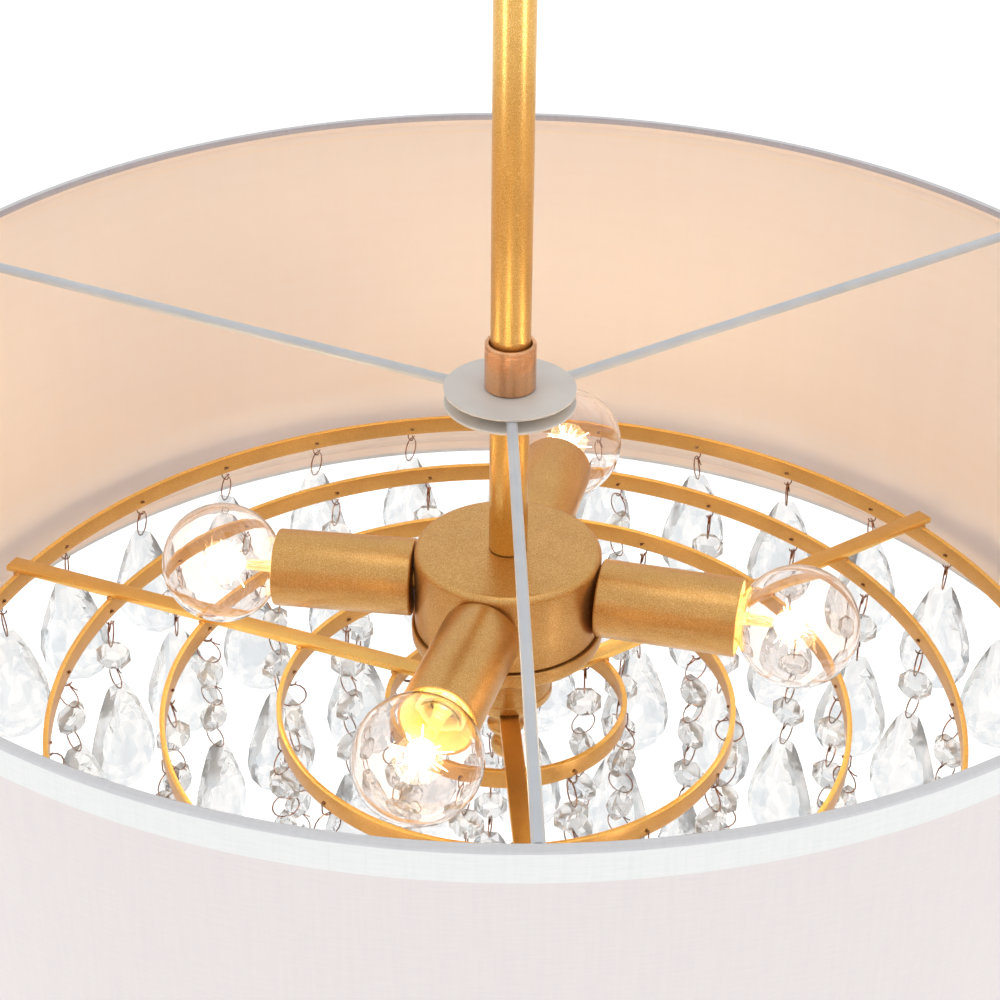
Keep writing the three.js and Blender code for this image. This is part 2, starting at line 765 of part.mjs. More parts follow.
const innerHoop = hoops[hoops.length - 1];
hoops.forEach((hoop) => {
  add(`hoop_${hoop.name}`, hoop === innerHoop ? piercedHoop(hoop) : fusedHoop(hoop), goldPaint);
});
for (let i = 0; i < innerHoop.strands; i += 1) {
  const place = spoke(hookDegrees(innerHoop, i), hookHeight);
  add(`crystal_strand_${i + 1}`, linkedStrand(innerHoop.beads), crystal, place)
    .position.x = hookRadius(innerHoop);
}

export default chandelier;
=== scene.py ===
"""Looks of a drum chandelier: fabric shade, gold lamp cluster, hoops and crystal strands.

Metres, +Z up. The frame's origin is the middle of the ceiling plane, on the rod's axis, and
the photograph is taken from -Y. Sizes come from the CAD nodes wherever a node has them.
"""

import logging
import math
import random
from dataclasses import dataclass, field
from enum import Enum
from typing import Iterable, Sequence

import bmesh
import bpy
from mathutils import Matrix, Vector


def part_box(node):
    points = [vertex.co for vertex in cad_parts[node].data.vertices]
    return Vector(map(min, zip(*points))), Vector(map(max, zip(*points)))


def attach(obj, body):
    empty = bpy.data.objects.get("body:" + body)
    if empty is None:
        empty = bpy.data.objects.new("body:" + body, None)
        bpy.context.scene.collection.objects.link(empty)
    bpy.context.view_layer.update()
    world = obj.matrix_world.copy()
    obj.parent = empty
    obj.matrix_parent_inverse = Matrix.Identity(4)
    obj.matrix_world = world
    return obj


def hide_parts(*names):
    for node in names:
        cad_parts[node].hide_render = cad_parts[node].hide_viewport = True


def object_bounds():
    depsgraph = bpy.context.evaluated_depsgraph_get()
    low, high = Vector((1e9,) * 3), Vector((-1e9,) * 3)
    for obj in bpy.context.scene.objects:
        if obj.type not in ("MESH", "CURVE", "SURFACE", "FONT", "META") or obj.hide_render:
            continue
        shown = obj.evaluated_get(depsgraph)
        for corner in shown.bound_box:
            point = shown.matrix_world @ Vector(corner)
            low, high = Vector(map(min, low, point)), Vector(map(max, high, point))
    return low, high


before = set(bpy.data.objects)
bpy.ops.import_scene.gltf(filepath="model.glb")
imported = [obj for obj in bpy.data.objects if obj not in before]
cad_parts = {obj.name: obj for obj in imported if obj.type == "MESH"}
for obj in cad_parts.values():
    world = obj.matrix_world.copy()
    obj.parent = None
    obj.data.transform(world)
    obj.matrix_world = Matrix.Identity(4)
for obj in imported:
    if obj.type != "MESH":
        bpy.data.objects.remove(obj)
CAD_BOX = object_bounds()

LOG = logging.getLogger("chandelier")
MM = 0.001
FULL_TURN = 2 * math.pi
QUARTER_TURN = math.pi / 2
LAMPS = 4
# Points closer than this are one point
MERGE = 1e-6
# Air between a hole and what passes through it
CLEARANCE = 0.3 * MM

Point = tuple[float, float]
Profile = Sequence[Point]


class Body(str, Enum):
    """The CAD bodies that pieces ride on."""

    CEILING = "ceiling_fitting"
    SWIVEL = "swivel"
    FIXTURE = "fixture"
    FINIAL = "finial_nut"


class Slot(str, Enum):
    """The record's material slots."""

    GOLD = "gold_paint"
    BRONZE = "bronze_plate"
    ZINC = "zinc_plate"
    WHITE = "white_paint"
    SHADE = "shade_fabric"
    HOLDER = "holder_ceramic"
    LAMP_BASE = "lamp_base_nickel"
    LAMP_GLASS = "lamp_glass"
    CRYSTAL = "crystal"


# Sizes read from the frame

def top(node: str) -> float:
    """Height of a CAD node's highest point."""
    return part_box(node)[1][2]


def bottom(node: str) -> float:
    """Height of a CAD node's lowest point."""
    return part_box(node)[0][2]


def reach(node: str) -> float:
    """Greatest distance of a round CAD node's side from the rod's axis."""
    low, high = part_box(node)
    return max(-low[0], -low[1], high[0], high[1])


def azimuth(node: str) -> float:
    """Direction of a CAD node's middle from the rod's axis, in radians."""
    low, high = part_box(node)
    return math.atan2(low[1] + high[1], low[0] + high[0])


# Colour and shader nodes

Colour = tuple[float, float, float, float]
WHITE: Colour = (1.0, 1.0, 1.0, 1.0)


def linear(hex_colour: str) -> Colour:
    """Turns an sRGB hex colour into linear RGBA.

    Args:
        hex_colour: six hex digits after a number sign.

    Returns:
        Linear red, green, blue and an alpha of 1.
    """
    shares = [int(hex_colour[i:i + 2], 16) / 255 for i in (1, 3, 5)]
    red, green, blue = (s / 12.92 if s <= 0.04045 else ((s + 0.055) / 1.055) ** 2.4 for s in shares)
    return (red, green, blue, 1.0)


def feed(tree: bpy.types.NodeTree, node: bpy.types.Node, inputs: dict) -> None:
    """Sets a node's inputs, or links them.

    Args:
        tree: the node tree that holds the node.
        node: the node.
        inputs: values, or sockets to link from, by input name or number.
    """
    for name, value in inputs.items():
        if isinstance(value, bpy.types.NodeSocket):
            tree.links.new(value, node.inputs[name])
        else:
            node.inputs[name].default_value = value


def add_node(tree: bpy.types.NodeTree, kind: str, inputs: dict | None = None,
             stops: Sequence[tuple[float, Colour]] = (), **settings) -> bpy.types.Node:
    """Adds one shader node with its settings and links.

    Args:
        tree: the node tree to add to.
        kind: the node's type name.
        inputs: values, or sockets to link from, by input name or number.
        stops: a colour ramp's two stops, each a place from 0 to 1 and a colour.
        **settings: the node's own attributes.

    Returns:
        The new node.
    """
    node = tree.nodes.new(kind)
    for name, value in settings.items():
        setattr(node, name, value)
    if stops:
        for element, (place, colour) in zip(node.color_ramp.elements, stops):
            element.position = place
            element.color = colour
    feed(tree, node, inputs or {})
    return node


def blank_material(name: str) -> tuple[bpy.types.Material, bpy.types.NodeTree, bpy.types.Node]:
    """Starts a material.

    Args:
        name: the material's name.

    Returns:
        The material, its node tree and its Principled shader.
    """
    material = bpy.data.materials.new(name)
    material.use_nodes = True
    tree = material.node_tree
    return material, tree, tree.nodes["Principled BSDF"]


def spread(tree: bpy.types.NodeTree, size: float, stretch: tuple = (1, 1, 1), source: str = "Object",
           **noise) -> bpy.types.NodeSocket:
    """Adds a noise pattern whose grains have a real size.

    Args:
        tree: the node tree to add to.
        size: the grain's width in metres.
        stretch: how many times finer the grain is along each axis.
        source: the texture coordinate that it reads.
        **noise: inputs of the noise, such as Detail.

    Returns:
        The pattern's socket.
    """
    where = add_node(tree, "ShaderNodeTexCoord")
    placed = add_node(tree, "ShaderNodeMapping", {"Vector": where.outputs[source], "Scale": stretch})
    grains = add_node(tree, "ShaderNodeTexNoise", {
        "Vector": placed.outputs["Vector"], "Scale": 1 / size, **noise})
    return grains.outputs["Fac"]


# Finishes

@dataclass(frozen=True)
class FlakePaint:
    """Metallic lacquer or browned metal: a satin skin that glitters grain by grain.

    Real flakes are under 0.1 mm wide, too fine to show, so the grains are drawn coarser.
    """

    name: str
    base: str
    flake: str
    roughness: float
    sparkle: float
    metallic: float = 0.85
    flake_size: float = 0.32 * MM
    patina_and_reflection: float = 0.06
    reflection_streak: float = 1.0

    def material(self) -> bpy.types.Material:
        """Builds the material."""
        material, tree, shader = blank_material(self.name)
        flakes = spread(tree, self.flake_size, Detail=1.0, Roughness=0.5)
        grain = (self.reflection_streak, self.reflection_streak, 1 / self.reflection_streak)
        cloud = spread(tree, 40 * self.flake_size, stretch=grain, Detail=2.0)
        tone = add_node(tree, "ShaderNodeValToRGB", {"Fac": flakes},
                        stops=((0.42, linear(self.base)), (0.74, linear(self.flake))))
        # Clouds darken the colour: patina, and on the bronze also painted reflections of dark surroundings,
        # drawn out upright
        darkened = (1 - self.patina_and_reflection, 1 - 1.2 * self.patina_and_reflection, 1 - 1.35 * self.patina_and_reflection, 1)
        darkening = add_node(tree, "ShaderNodeValToRGB", {"Fac": cloud}, stops=((0.36, darkened), (0.62, WHITE)))
        mixed = add_node(tree, "ShaderNodeMix", {0: 1.0, 6: tone.outputs["Color"], 7: darkening.outputs["Color"]},
                         data_type="RGBA", blend_type="MULTIPLY")
        rough = add_node(tree, "ShaderNodeMapRange", {
            "Value": flakes, "To Min": self.roughness + 0.08, "To Max": self.roughness - 0.08})
        bump = add_node(tree, "ShaderNodeBump", {
            "Height": flakes, "Strength": self.sparkle, "Distance": 0.05 * MM})
        feed(tree, shader, {
            "Base Color": mixed.outputs[2], "Roughness": rough.outputs["Result"],
            "Normal": bump.outputs["Normal"], "Metallic": self.metallic})
        return material


@dataclass(frozen=True)
class Enamel:
    """Sprayed enamel or glazed ceramic: even colour under a faint orange-peel skin."""

    name: str
    colour: str
    shade: str
    roughness: float = 0.4
    peel: float = 1.6 * MM

    def material(self) -> bpy.types.Material:
        """Builds the material."""
        material, tree, shader = blank_material(self.name)
        skin = spread(tree, self.peel, Detail=2.0)
        cloud = spread(tree, 12 * self.peel, Detail=2.0)
        tone = add_node(tree, "ShaderNodeValToRGB", {"Fac": cloud},
                        stops=((0.3, linear(self.shade)), (0.7, linear(self.colour))))
        bump = add_node(tree, "ShaderNodeBump", {"Height": skin, "Strength": 0.12, "Distance": 0.1 * MM})
        feed(tree, shader, {
            "Base Color": tone.outputs["Color"], "Normal": bump.outputs["Normal"],
            "Roughness": self.roughness})
        return material


@dataclass(frozen=True)
class PlatedSteel:
    """Zinc or nickel plate over drawn steel: bright metal with fine turning marks."""

    name: str
    colour: str
    shade: str
    roughness: float = 0.3
    mark_width: float = 2.5 * MM

    def material(self) -> bpy.types.Material:
        """Builds the material."""
        material, tree, shader = blank_material(self.name)
        marks = spread(tree, self.mark_width, stretch=(1, 1, 12), Detail=3.0)
        tone = add_node(tree, "ShaderNodeValToRGB", {"Fac": marks},
                        stops=((0.3, linear(self.shade)), (0.7, linear(self.colour))))
        bump = add_node(tree, "ShaderNodeBump", {"Height": marks, "Strength": 0.08, "Distance": 0.05 * MM})
        feed(tree, shader, {
            "Base Color": tone.outputs["Color"], "Normal": bump.outputs["Normal"],
            "Roughness": self.roughness, "Metallic": 1.0})
        return material


@dataclass(frozen=True)
class ShadeCloth:
    """Plain-woven polyester cotton on a stiff film: matt, with upright slubs a few threads wide.

    The threads are about 0.4 mm apart, too fine to show, so the slubs carry the weave.
    """

    name: str
    colour: str
    slub: str
    relief: float
    slub_width: float = 1.8 * MM

    def material(self) -> bpy.types.Material:
        """Builds the material, on the piece's own UV map in metres."""
        material, tree, shader = blank_material(self.name)
        slubs = spread(tree, self.slub_width, stretch=(1, 0.05, 1), source="UV", Detail=3.0, Roughness=0.6)
        threads = spread(tree, self.slub_width / 2, stretch=(0.08, 1, 1), source="UV", Detail=2.0)
        both = add_node(tree, "ShaderNodeMath", {0: slubs, 1: threads}, operation="ADD")
        half = add_node(tree, "ShaderNodeMath", {0: both.outputs["Value"], 1: 0.5}, operation="MULTIPLY")
        weave = half.outputs["Value"]
        tone = add_node(tree, "ShaderNodeValToRGB", {"Fac": weave},
                        stops=((0.35, linear(self.slub)), (0.62, linear(self.colour))))
        bump = add_node(tree, "ShaderNodeBump", {
            "Height": weave, "Strength": self.relief, "Distance": 0.2 * MM})
        feed(tree, shader, {
            "Base Color": tone.outputs["Color"], "Normal": bump.outputs["Normal"],
            "Roughness": 0.92, "Sheen Weight": 0.15, "Specular IOR Level": 0.2})
        return material


@dataclass(frozen=True)
class ClearGlass:
    """The lamps' blown or drawn glass: clear, with a slight waviness."""

    name: str
    tint: str
    wave: float
    ior: float = 1.5
    waviness: float = 0.02
    glow: str = "#000000"
    glow_strength: float = 0.0

    def material(self) -> bpy.types.Material:
        """Builds the material."""
        material, tree, shader = blank_material(self.name)
        waves = spread(tree, self.wave, Detail=1.0)
        bump = add_node(tree, "ShaderNodeBump", {
            "Height": waves, "Strength": self.waviness, "Distance": 1 * MM})
        feed(tree, shader, {
            "Base Color": linear(self.tint), "Normal": bump.outputs["Normal"],
            "Roughness": 0.0, "IOR": self.ior, "Transmission Weight": 1.0,
            "Emission Color": linear(self.glow), "Emission Strength": self.glow_strength})
        return material


@dataclass(frozen=True)
class CutCrystal:
    """Cut lead-free crystal: each facet is painted its own grey as a painted reflection, and a little stays
    milky in daylight.
    """

    name: str
    light: str
    dark: str
    ior: float = 1.36
    clearness: float = 0.8
    tone_step: float = 0.13

    def material(self) -> bpy.types.Material:
        """Builds the material, whose grey follows the way a facet faces: painted reflections."""
        material, tree, shader = blank_material(self.name)
        facets = spread(tree, self.tone_step, source="Normal", Detail=0.0)
        tone = add_node(tree, "ShaderNodeValToRGB", {"Fac": facets},
                        stops=((0.4, linear(self.dark)), (0.6, linear(self.light))))
        feed(tree, shader, {
            "Base Color": tone.outputs["Color"], "Roughness": 0.0, "IOR": self.ior,
            "Transmission Weight": self.clearness})
        return material


@dataclass(frozen=True)
class HotWire:
    """Tungsten at working heat, or painted glare round it: it gives light and shows no surface."""

    name: str
    colour: str
    strength: float
    coil_pitch: float = 0.8 * MM

    def material(self) -> bpy.types.Material:
        """Builds the material."""
        material, tree, shader = blank_material(self.name)
        coil = spread(tree, self.coil_pitch, Detail=0.0)
        tone = add_node(tree, "ShaderNodeValToRGB", {"Fac": coil},
                        stops=((0.4, linear(self.colour)), (0.6, linear("#FFFFFF"))))
        feed(tree, shader, {
            "Base Color": linear("#3A3028"), "Emission Color": tone.outputs["Color"],
            "Emission Strength": self.strength})
        return material


Finish = FlakePaint | Enamel | PlatedSteel | ShadeCloth | ClearGlass | CutCrystal | HotWire

# Sprayed lacquer: a satin brown gold whose grains catch the light one by one
GOLD = FlakePaint("gold_flake_paint", "#C6924C", "#E4BE84", roughness=0.32, sparkle=0.16)
# The same lacquer on the rods and the bars' flats, painted yellower and brighter: painted light for the light
# that these faces catch
ROD_GOLD_PAINTED_LIGHTER = FlakePaint("gold_rod_paint_painted_lighter", "#D6A250", "#F9D68C", roughness=0.3, sparkle=0.16)
# The same lacquer on the hoops' walls, painted darker as painted shade, and a little rougher
HOOP_GOLD_PAINTED_DARKER = FlakePaint("gold_hoop_paint_painted_darker", "#C88E48", "#E0AA62", roughness=0.34, sparkle=0.15)
# Painted highlight along hoop tops and bar sides: a light line that draws each hoop and bar
PAINTED_HIGHLIGHT_GOLD = FlakePaint("painted_highlight_gold_edge", "#EDB654", "#FFD98C", roughness=0.3, sparkle=0.1,
                         metallic=0.6, flake_size=0.5 * MM)
# Browned plate rubbed back: a pinkish bronze with darker upright clouds, partly patina and partly painted
# reflections of dark surroundings
BRONZE = FlakePaint("antique_bronze_plate", "#E2A878", "#FBD0A6", roughness=0.26, sparkle=0.12,
                    flake_size=0.3 * MM, patina_and_reflection=0.3, reflection_streak=2.5)
# Drawn wire browned in patches of a few millimetres, so that a ring is dark here and pale there
COPPER_WIRE = FlakePaint("browned_copper_wire", "#7E543C", "#C09678", roughness=0.25, sparkle=0.05,
                         metallic=1.0, flake_size=2.5 * MM)
# Sprayed enamel on the clamp discs: an even warm grey without grain
WHITE_ENAMEL = Enamel("pale_grey_enamel", "#E2DED9", "#D8D3CE")
# Sprayed enamel on the spider arms: a cooler grey than the discs'
ARM_ENAMEL = Enamel("cool_grey_enamel", "#D4D8DD", "#C8CED5")
# Glazed ceramic: cream, painted yellower with the lamp's light, and smoother than the enamels
CERAMIC_WITH_PAINTED_LAMPLIGHT = Enamel("cream_lamp_holder_with_painted_lamplight", "#FFF2C4", "#F8E4A4", roughness=0.3)
# The cups' inside, painted a pale yellow as the lamp's light on the gold: painted light
CUP_INSIDE_PAINTED_LAMPLIGHT = Enamel("cup_inside_painted_lamplight", "#FFF0B4", "#FBE6A0", roughness=0.35)
# Zinc plate: a grey metal with fine turning marks
ZINC = PlatedSteel("zinc_plated_steel", "#B9BBBD", "#9DA0A3")
# Nickel plate: warmer and glossier than the zinc
NICKEL = PlatedSteel("nickelled_lamp_base", "#CFC6B4", "#B4AA96", roughness=0.25)
# Woven cloth: a warm off-white whose faint upright slubs keep it from looking like card
CLOTH = ShadeCloth("shade_cloth", "#F3ECEB", "#F0E8E8", relief=0.07, slub_width=1.4 * MM)
# Woven tape round the hems: whiter than the cloth
HEM_CLOTH = ShadeCloth("hem_tape", "#FBFCFB", "#F4F6F5", relief=0.06, slub_width=1.4 * MM)
# The tape where it rolls over the edge: painted shade, a light grey rim where the roll turns away from the
# light
ROLL_TAPE_PAINTED_SHADE = ShadeCloth("rolled_edge", "#E3E3E5", "#DADADD", relief=0.06)
# Calendered film: smooth and a little pink, so that the lamps warm it and no weave shows
LINER = ShadeCloth("shade_liner_film", "#F4E7E0", "#F3E5DD", relief=0.0, slub_width=9 * MM)
# The top roll's inner turn: a painted shadow, a grey line inside the rim
ROLL_INNER_TURN_PAINTED_SHADOW = ShadeCloth("rolled_edge_inner_turn", "#BDB8C0", "#B0ABB5", relief=0.06)
# The cut edge of the top hem's flap, a thin yellow line where the lamps light it
LIT_LIP = ShadeCloth("lit_tape_lip", "#FFE6A0", "#FFDF90", relief=0.01)
# Cut and polished crystal: white and pale grey facets side by side, the greys painted reflections, so that
# the cut shows on white
CRYSTAL = CutCrystal("faceted_crystal_painted_reflections", "#FFFFFF", "#E3E8EC")
# Blown glass: clear, and wavy enough to bend its reflections
GLOBE_GLASS = ClearGlass("blown_lamp_glass", "#FEF9F6", wave=9 * MM, ior=1.46, waviness=0.1)
# Drawn glass beside the filament, with a yellow glow of its own: painted light from the filament
STEM_GLASS = ClearGlass("lamp_stem_glass", "#FFF0D0", wave=5 * MM, glow="#FFD070", glow_strength=0.35)
# Painted glare: a white star of glowing rays with warm tips round the hot coil
PAINTED_GLARE_RAYS = HotWire("painted_glare_rays_glow", "#FFE0A0", 16.0)
# The coil in the middle of the star: a bright spot without detail, drawn larger than the coil as painted
# glare
HOT_TIP = HotWire("lit_stem_tip", "#FFF0C8", 9.0)

_MATERIALS: dict[str, bpy.types.Material] = {}


def dressed(finish: Finish) -> bpy.types.Material:
    """The material of a finish, built once."""
    if finish.name not in _MATERIALS:
        _MATERIALS[finish.name] = finish.material()
    return _MATERIALS[finish.name]


# Shapes from bmesh operators

def lathe(profile: Profile, steps: int, ring: bool = False) -> bmesh.types.BMesh:
    """Turns a profile about Z.

    Args:
        profile: (radius, height) points, from end to end.
        steps: the number of facets round the axis.
        ring: whether the profile closes on itself.

    Returns:
        The turned bmesh.
    """
    bm = bmesh.new()
    verts = [bm.verts.new((radius, 0, height)) for radius, height in profile]
    followers = verts[1:] + verts[:1] if ring else verts[1:]
    edges = [bm.edges.new(pair) for pair in zip(verts, followers)]
    bmesh.ops.spin(bm, geom=verts + edges, cent=(0, 0, 0), axis=(0, 0, 1), angle=FULL_TURN,
                   steps=steps, use_merge=True)
    bmesh.ops.remove_doubles(bm, verts=bm.verts, dist=MERGE)
    bmesh.ops.recalc_face_normals(bm, faces=bm.faces)
    return bm


def pipe(outer: float, inner: float, low: float, high: float, steps: int) -> bmesh.types.BMesh:
    """A tube about Z between two heights."""
    return lathe([(outer, low), (outer, high), (inner, high), (inner, low)], steps, ring=True)


def turned_bar(radius: float, low: float, high: float, steps: int) -> bmesh.types.BMesh:
    """A solid cylinder about Z between two heights."""
    return lathe([(0, low), (radius, low), (radius, high), (0, high)], steps)


def arc(centre: Point, radius: float, start: float, end: float, steps: int) -> list[Point]:
    """Points of an arc in a profile.

    Args:
        centre: the arc's centre.
        radius: its radius.
        start: its first angle in degrees.
        end: its last angle in degrees.
        steps: the number of stretches.

    Returns:
        The points from start to end.
    """
    angles = [math.radians(start + (end - start) * i / steps) for i in range(steps + 1)]
    return [(centre[0] + radius * math.cos(a), centre[1] + radius * math.sin(a)) for a in angles]


def soften(bm: bmesh.types.BMesh, width: float, segments: int = 2, sharp: float = 35) -> bmesh.types.BMesh:
    """Rounds the edges that are sharper than an angle in degrees."""
    limit = math.radians(sharp)
    edges = [e for e in bm.edges if len(e.link_faces) == 2 and e.calc_face_angle(0) > limit]
    bmesh.ops.bevel(bm, geom=edges, offset=width, offset_type="OFFSET", segments=segments, profile=0.5,
                    affect="EDGES", material=-1, clamp_overlap=True)
    return bm


def moved(bm: bmesh.types.BMesh, *steps: Matrix) -> bmesh.types.BMesh:
    """Moves a whole bmesh through matrices, the first one first."""
    for matrix in steps:
        bmesh.ops.transform(bm, matrix=matrix, verts=bm.verts)
    return bm


def merged(*parts: bmesh.types.BMesh) -> bmesh.types.BMesh:
    """Gathers several bmeshes in the first one."""
    whole, *others = parts
    for part in others:
        mesh = bpy.data.meshes.new("part")
        part.to_mesh(mesh)
        whole.from_mesh(mesh)
        part.free()
        bpy.data.meshes.remove(mesh)
    return whole


def copies(template: bmesh.types.BMesh, places: Iterable[Matrix]) -> bmesh.types.BMesh:
    """Repeats a shape.

    Args:
        template: the shape about the origin; it is used up.
        places: one matrix for each copy.

    Returns:
        All the copies as one bmesh.
    """
    mesh = bpy.data.meshes.new("template")
    template.to_mesh(mesh)
    template.free()
    whole = bmesh.new()
    for place in places:
        start = len(whole.verts)
        whole.from_mesh(mesh)
        whole.verts.ensure_lookup_table()
        bmesh.ops.transform(whole, matrix=place, verts=whole.verts[start:])
    bpy.data.meshes.remove(mesh)
    return whole


def turn(angle: float, axis: str = "Z") -> Matrix:
    """A turn about one of the axes, in radians."""
    return Matrix.Rotation(angle, 4, axis)


def shift(x: float = 0.0, y: float = 0.0, z: float = 0.0) -> Matrix:
    """A move in metres."""
    return Matrix.Translation((x, y, z))


@dataclass(frozen=True)
class Bend:
    """One arc of a bent wire, in the plane of X and Z."""

    centre: Point
    degrees: float
    steps: int
    drift: float = 0.0


def bent_wire(start: tuple[float, float, float], heading: float, radius: float, sides: int,
              bends: Sequence[Bend]) -> bmesh.types.BMesh:
    """Bends a round wire through arcs in the plane of X and Z, one after another.

    Args:
        start: the middle of the wire's first end.
        heading: the way it sets off, in degrees from X towards Z.
        radius: the wire's radius.
        sides: the sides of its section.
        bends: the arcs; positive degrees turn from X towards Z, and drift moves the wire along Y.

    Returns:
        The closed wire.
    """
    bm = bmesh.new()
    square_on = shift(*start) @ turn(-math.radians(heading), "Y") @ turn(QUARTER_TURN, "Y")
    bmesh.ops.create_circle(bm, cap_ends=True, segments=sides, radius=radius, matrix=square_on)
    section = list(bm.faces) + list(bm.edges) + list(bm.verts)
    for bend in bends:
        swept = bmesh.ops.spin(
            bm, geom=section, cent=(bend.centre[0], 0, bend.centre[1]), axis=(0, -1, 0),
            dvec=(0, bend.drift / bend.steps, 0), angle=math.radians(bend.degrees), steps=bend.steps)
        section = swept["geom_last"]
    bmesh.ops.remove_doubles(bm, verts=bm.verts, dist=MERGE)
    bmesh.ops.recalc_face_normals(bm, faces=bm.faces)
    return bm


def drawn_rod(radius: float, sides: int, points: Profile) -> bmesh.types.BMesh:
    """Draws a round rod out along X through points of X and Z.

    Args:
        radius: the rod's radius.
        sides: the sides of its section.
        points: where its middle runs.

    Returns:
        The closed rod.
    """
    bm = bmesh.new()
    first, *others = points
    ring = bmesh.ops.create_circle(bm, segments=sides, radius=radius,
                                   matrix=shift(first[0], 0, first[1]) @ turn(QUARTER_TURN, "Y"))
    edges = list({edge for vert in ring["verts"] for edge in vert.link_edges})
    bmesh.ops.holes_fill(bm, edges=edges, sides=0)
    here = first
    for there in others:
        grown = bmesh.ops.extrude_edge_only(bm, edges=edges)["geom"]
        verts = {g for g in grown if isinstance(g, bmesh.types.BMVert)}
        edges = [g for g in grown if isinstance(g, bmesh.types.BMEdge) and set(g.verts) <= verts]
        bmesh.ops.translate(bm, verts=list(verts), vec=(there[0] - here[0], 0, there[1] - here[1]))
        here = there
    bmesh.ops.holes_fill(bm, edges=edges, sides=0)
    bmesh.ops.recalc_face_normals(bm, faces=bm.faces)
    return bm


def flat_bar(start: float, end: float, width: float, low: float, high: float) -> bmesh.types.BMesh:
    """A flat bar along X with softened edges.

    Args:
        start: where it starts along X.
        end: where it ends along X.
        width: its width along Y.
        low: the height of its underside.
        high: the height of its upper side.

    Returns:
        The bar.
    """
    edge_round = 0.3 * MM
    bm = bmesh.new()
    size = Matrix.Diagonal((end - start, width, high - low, 1))
    bmesh.ops.create_cube(bm, size=1.0, matrix=shift((start + end) / 2, 0, (low + high) / 2) @ size)
    return soften(bm, edge_round)


def finish_mesh(bm: bmesh.types.BMesh, crease: float) -> None:
    """Shades faces smooth and keeps edges over an angle in degrees crisp; 0 leaves every face flat."""
    limit = math.radians(crease)
    for face in bm.faces:
        face.smooth = crease > 0
    for edge in bm.edges:
        edge.smooth = len(edge.link_faces) == 2 and edge.calc_face_angle(0) < limit


def piece(bm: bmesh.types.BMesh, name: str, finishes: Finish | Sequence[Finish], body: str,
          replaced: Sequence[str] = (), crease: float = 38) -> bpy.types.Object:
    """Makes a finished piece of a bmesh.

    Args:
        bm: the shape in place, in the frame; it is used up.
        name: the piece's name.
        finishes: one finish, or several in the order of the faces' material numbers.
        body: the body it rides on.
        replaced: the CAD nodes that it stands for.
        crease: the angle in degrees from which an edge stays crisp.

    Returns:
        The new object.
    """
    finish_mesh(bm, crease)
    mesh = bpy.data.meshes.new(name)
    bm.to_mesh(mesh)
    bm.free()
    made = bpy.data.objects.new(name, mesh)
    bpy.context.scene.collection.objects.link(made)
    for finish in finishes if isinstance(finishes, (list, tuple)) else [finishes]:
        mesh.materials.append(dressed(finish))
    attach(made, str(getattr(body, "value", body)))
    if replaced:
        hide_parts(*replaced)
    LOG.info("%s: %d faces", name, len(mesh.polygons))
    return made


def gold_turning(profile: Profile, steps: int, name: str, node: str, body: str = Body.FIXTURE) -> None:
    """Turns a closed profile about Z into a piece in gold lacquer that stands for a CAD node."""
    piece(lathe(profile, steps, ring=True), name, GOLD, body, [node])


def cloth_map(bm: bmesh.types.BMesh, radius: float) -> None:
    """Gives a drum's faces a UV map in metres: round the drum, and up it."""
    layer = bm.loops.layers.uv.new("cloth")
    for face in bm.faces:
        middle = face.calc_center_median()
        centre_angle = math.atan2(middle.y, middle.x)
        for loop in face.loops:
            place = loop.vert.co
            angle = math.atan2(place.y, place.x)
            angle = centre_angle + math.remainder(angle - centre_angle, FULL_TURN)
            loop[layer].uv = (angle * radius, place.z + abs(place.xy.length - radius))


def hide_from_view(light: bpy.types.Object) -> None:
    """Lets a light shine without being seen itself."""
    light.visible_camera = False
    light.visible_transmission = False


def dress_node(node: str, finish: Finish) -> None:
    """Gives a CAD node that stays in sight its finish."""
    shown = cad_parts[node]
    if not shown.material_slots:
        shown.data.materials.append(None)
    for place in shown.material_slots:
        place.material = dressed(finish)
    LOG.info("%s dressed", node)


# Ceiling fitting and swivel

@dataclass
class CeilingFitting:
    """Canopy, crossbar and threaded nipple at the ceiling."""

    canopy_wall: float = 1.2 * MM
    canopy_round: float = 9 * MM
    steps: int = 96

    def canopy(self) -> None:
        """Spins the canopy pan, with its hole for the nipple."""
        radius, high, low = reach("canopy"), top("canopy"), bottom("canopy")
        hole = reach("ceiling_nipple") + CLEARANCE
        centre = (radius - self.canopy_round, low + self.canopy_round)
        rim = self.canopy_wall / 2
        profile = [
            (hole, low), *arc(centre, self.canopy_round, -90, 0, 10),
            *arc((radius - rim, high - rim), rim, 0, 180, 6),
            *arc(centre, self.canopy_round - self.canopy_wall, 0, -90, 10), (hole, low + self.canopy_wall)]
        gold_turning(profile, self.steps, "canopy_pan", "canopy", Body.CEILING)

    def build(self) -> None:
        """Builds the canopy and plates the hardware that it hides."""
        self.canopy()
        for node in ("crossbar", "ceiling_nipple", "nipple_locknut"):
            dress_node(node, ZINC)


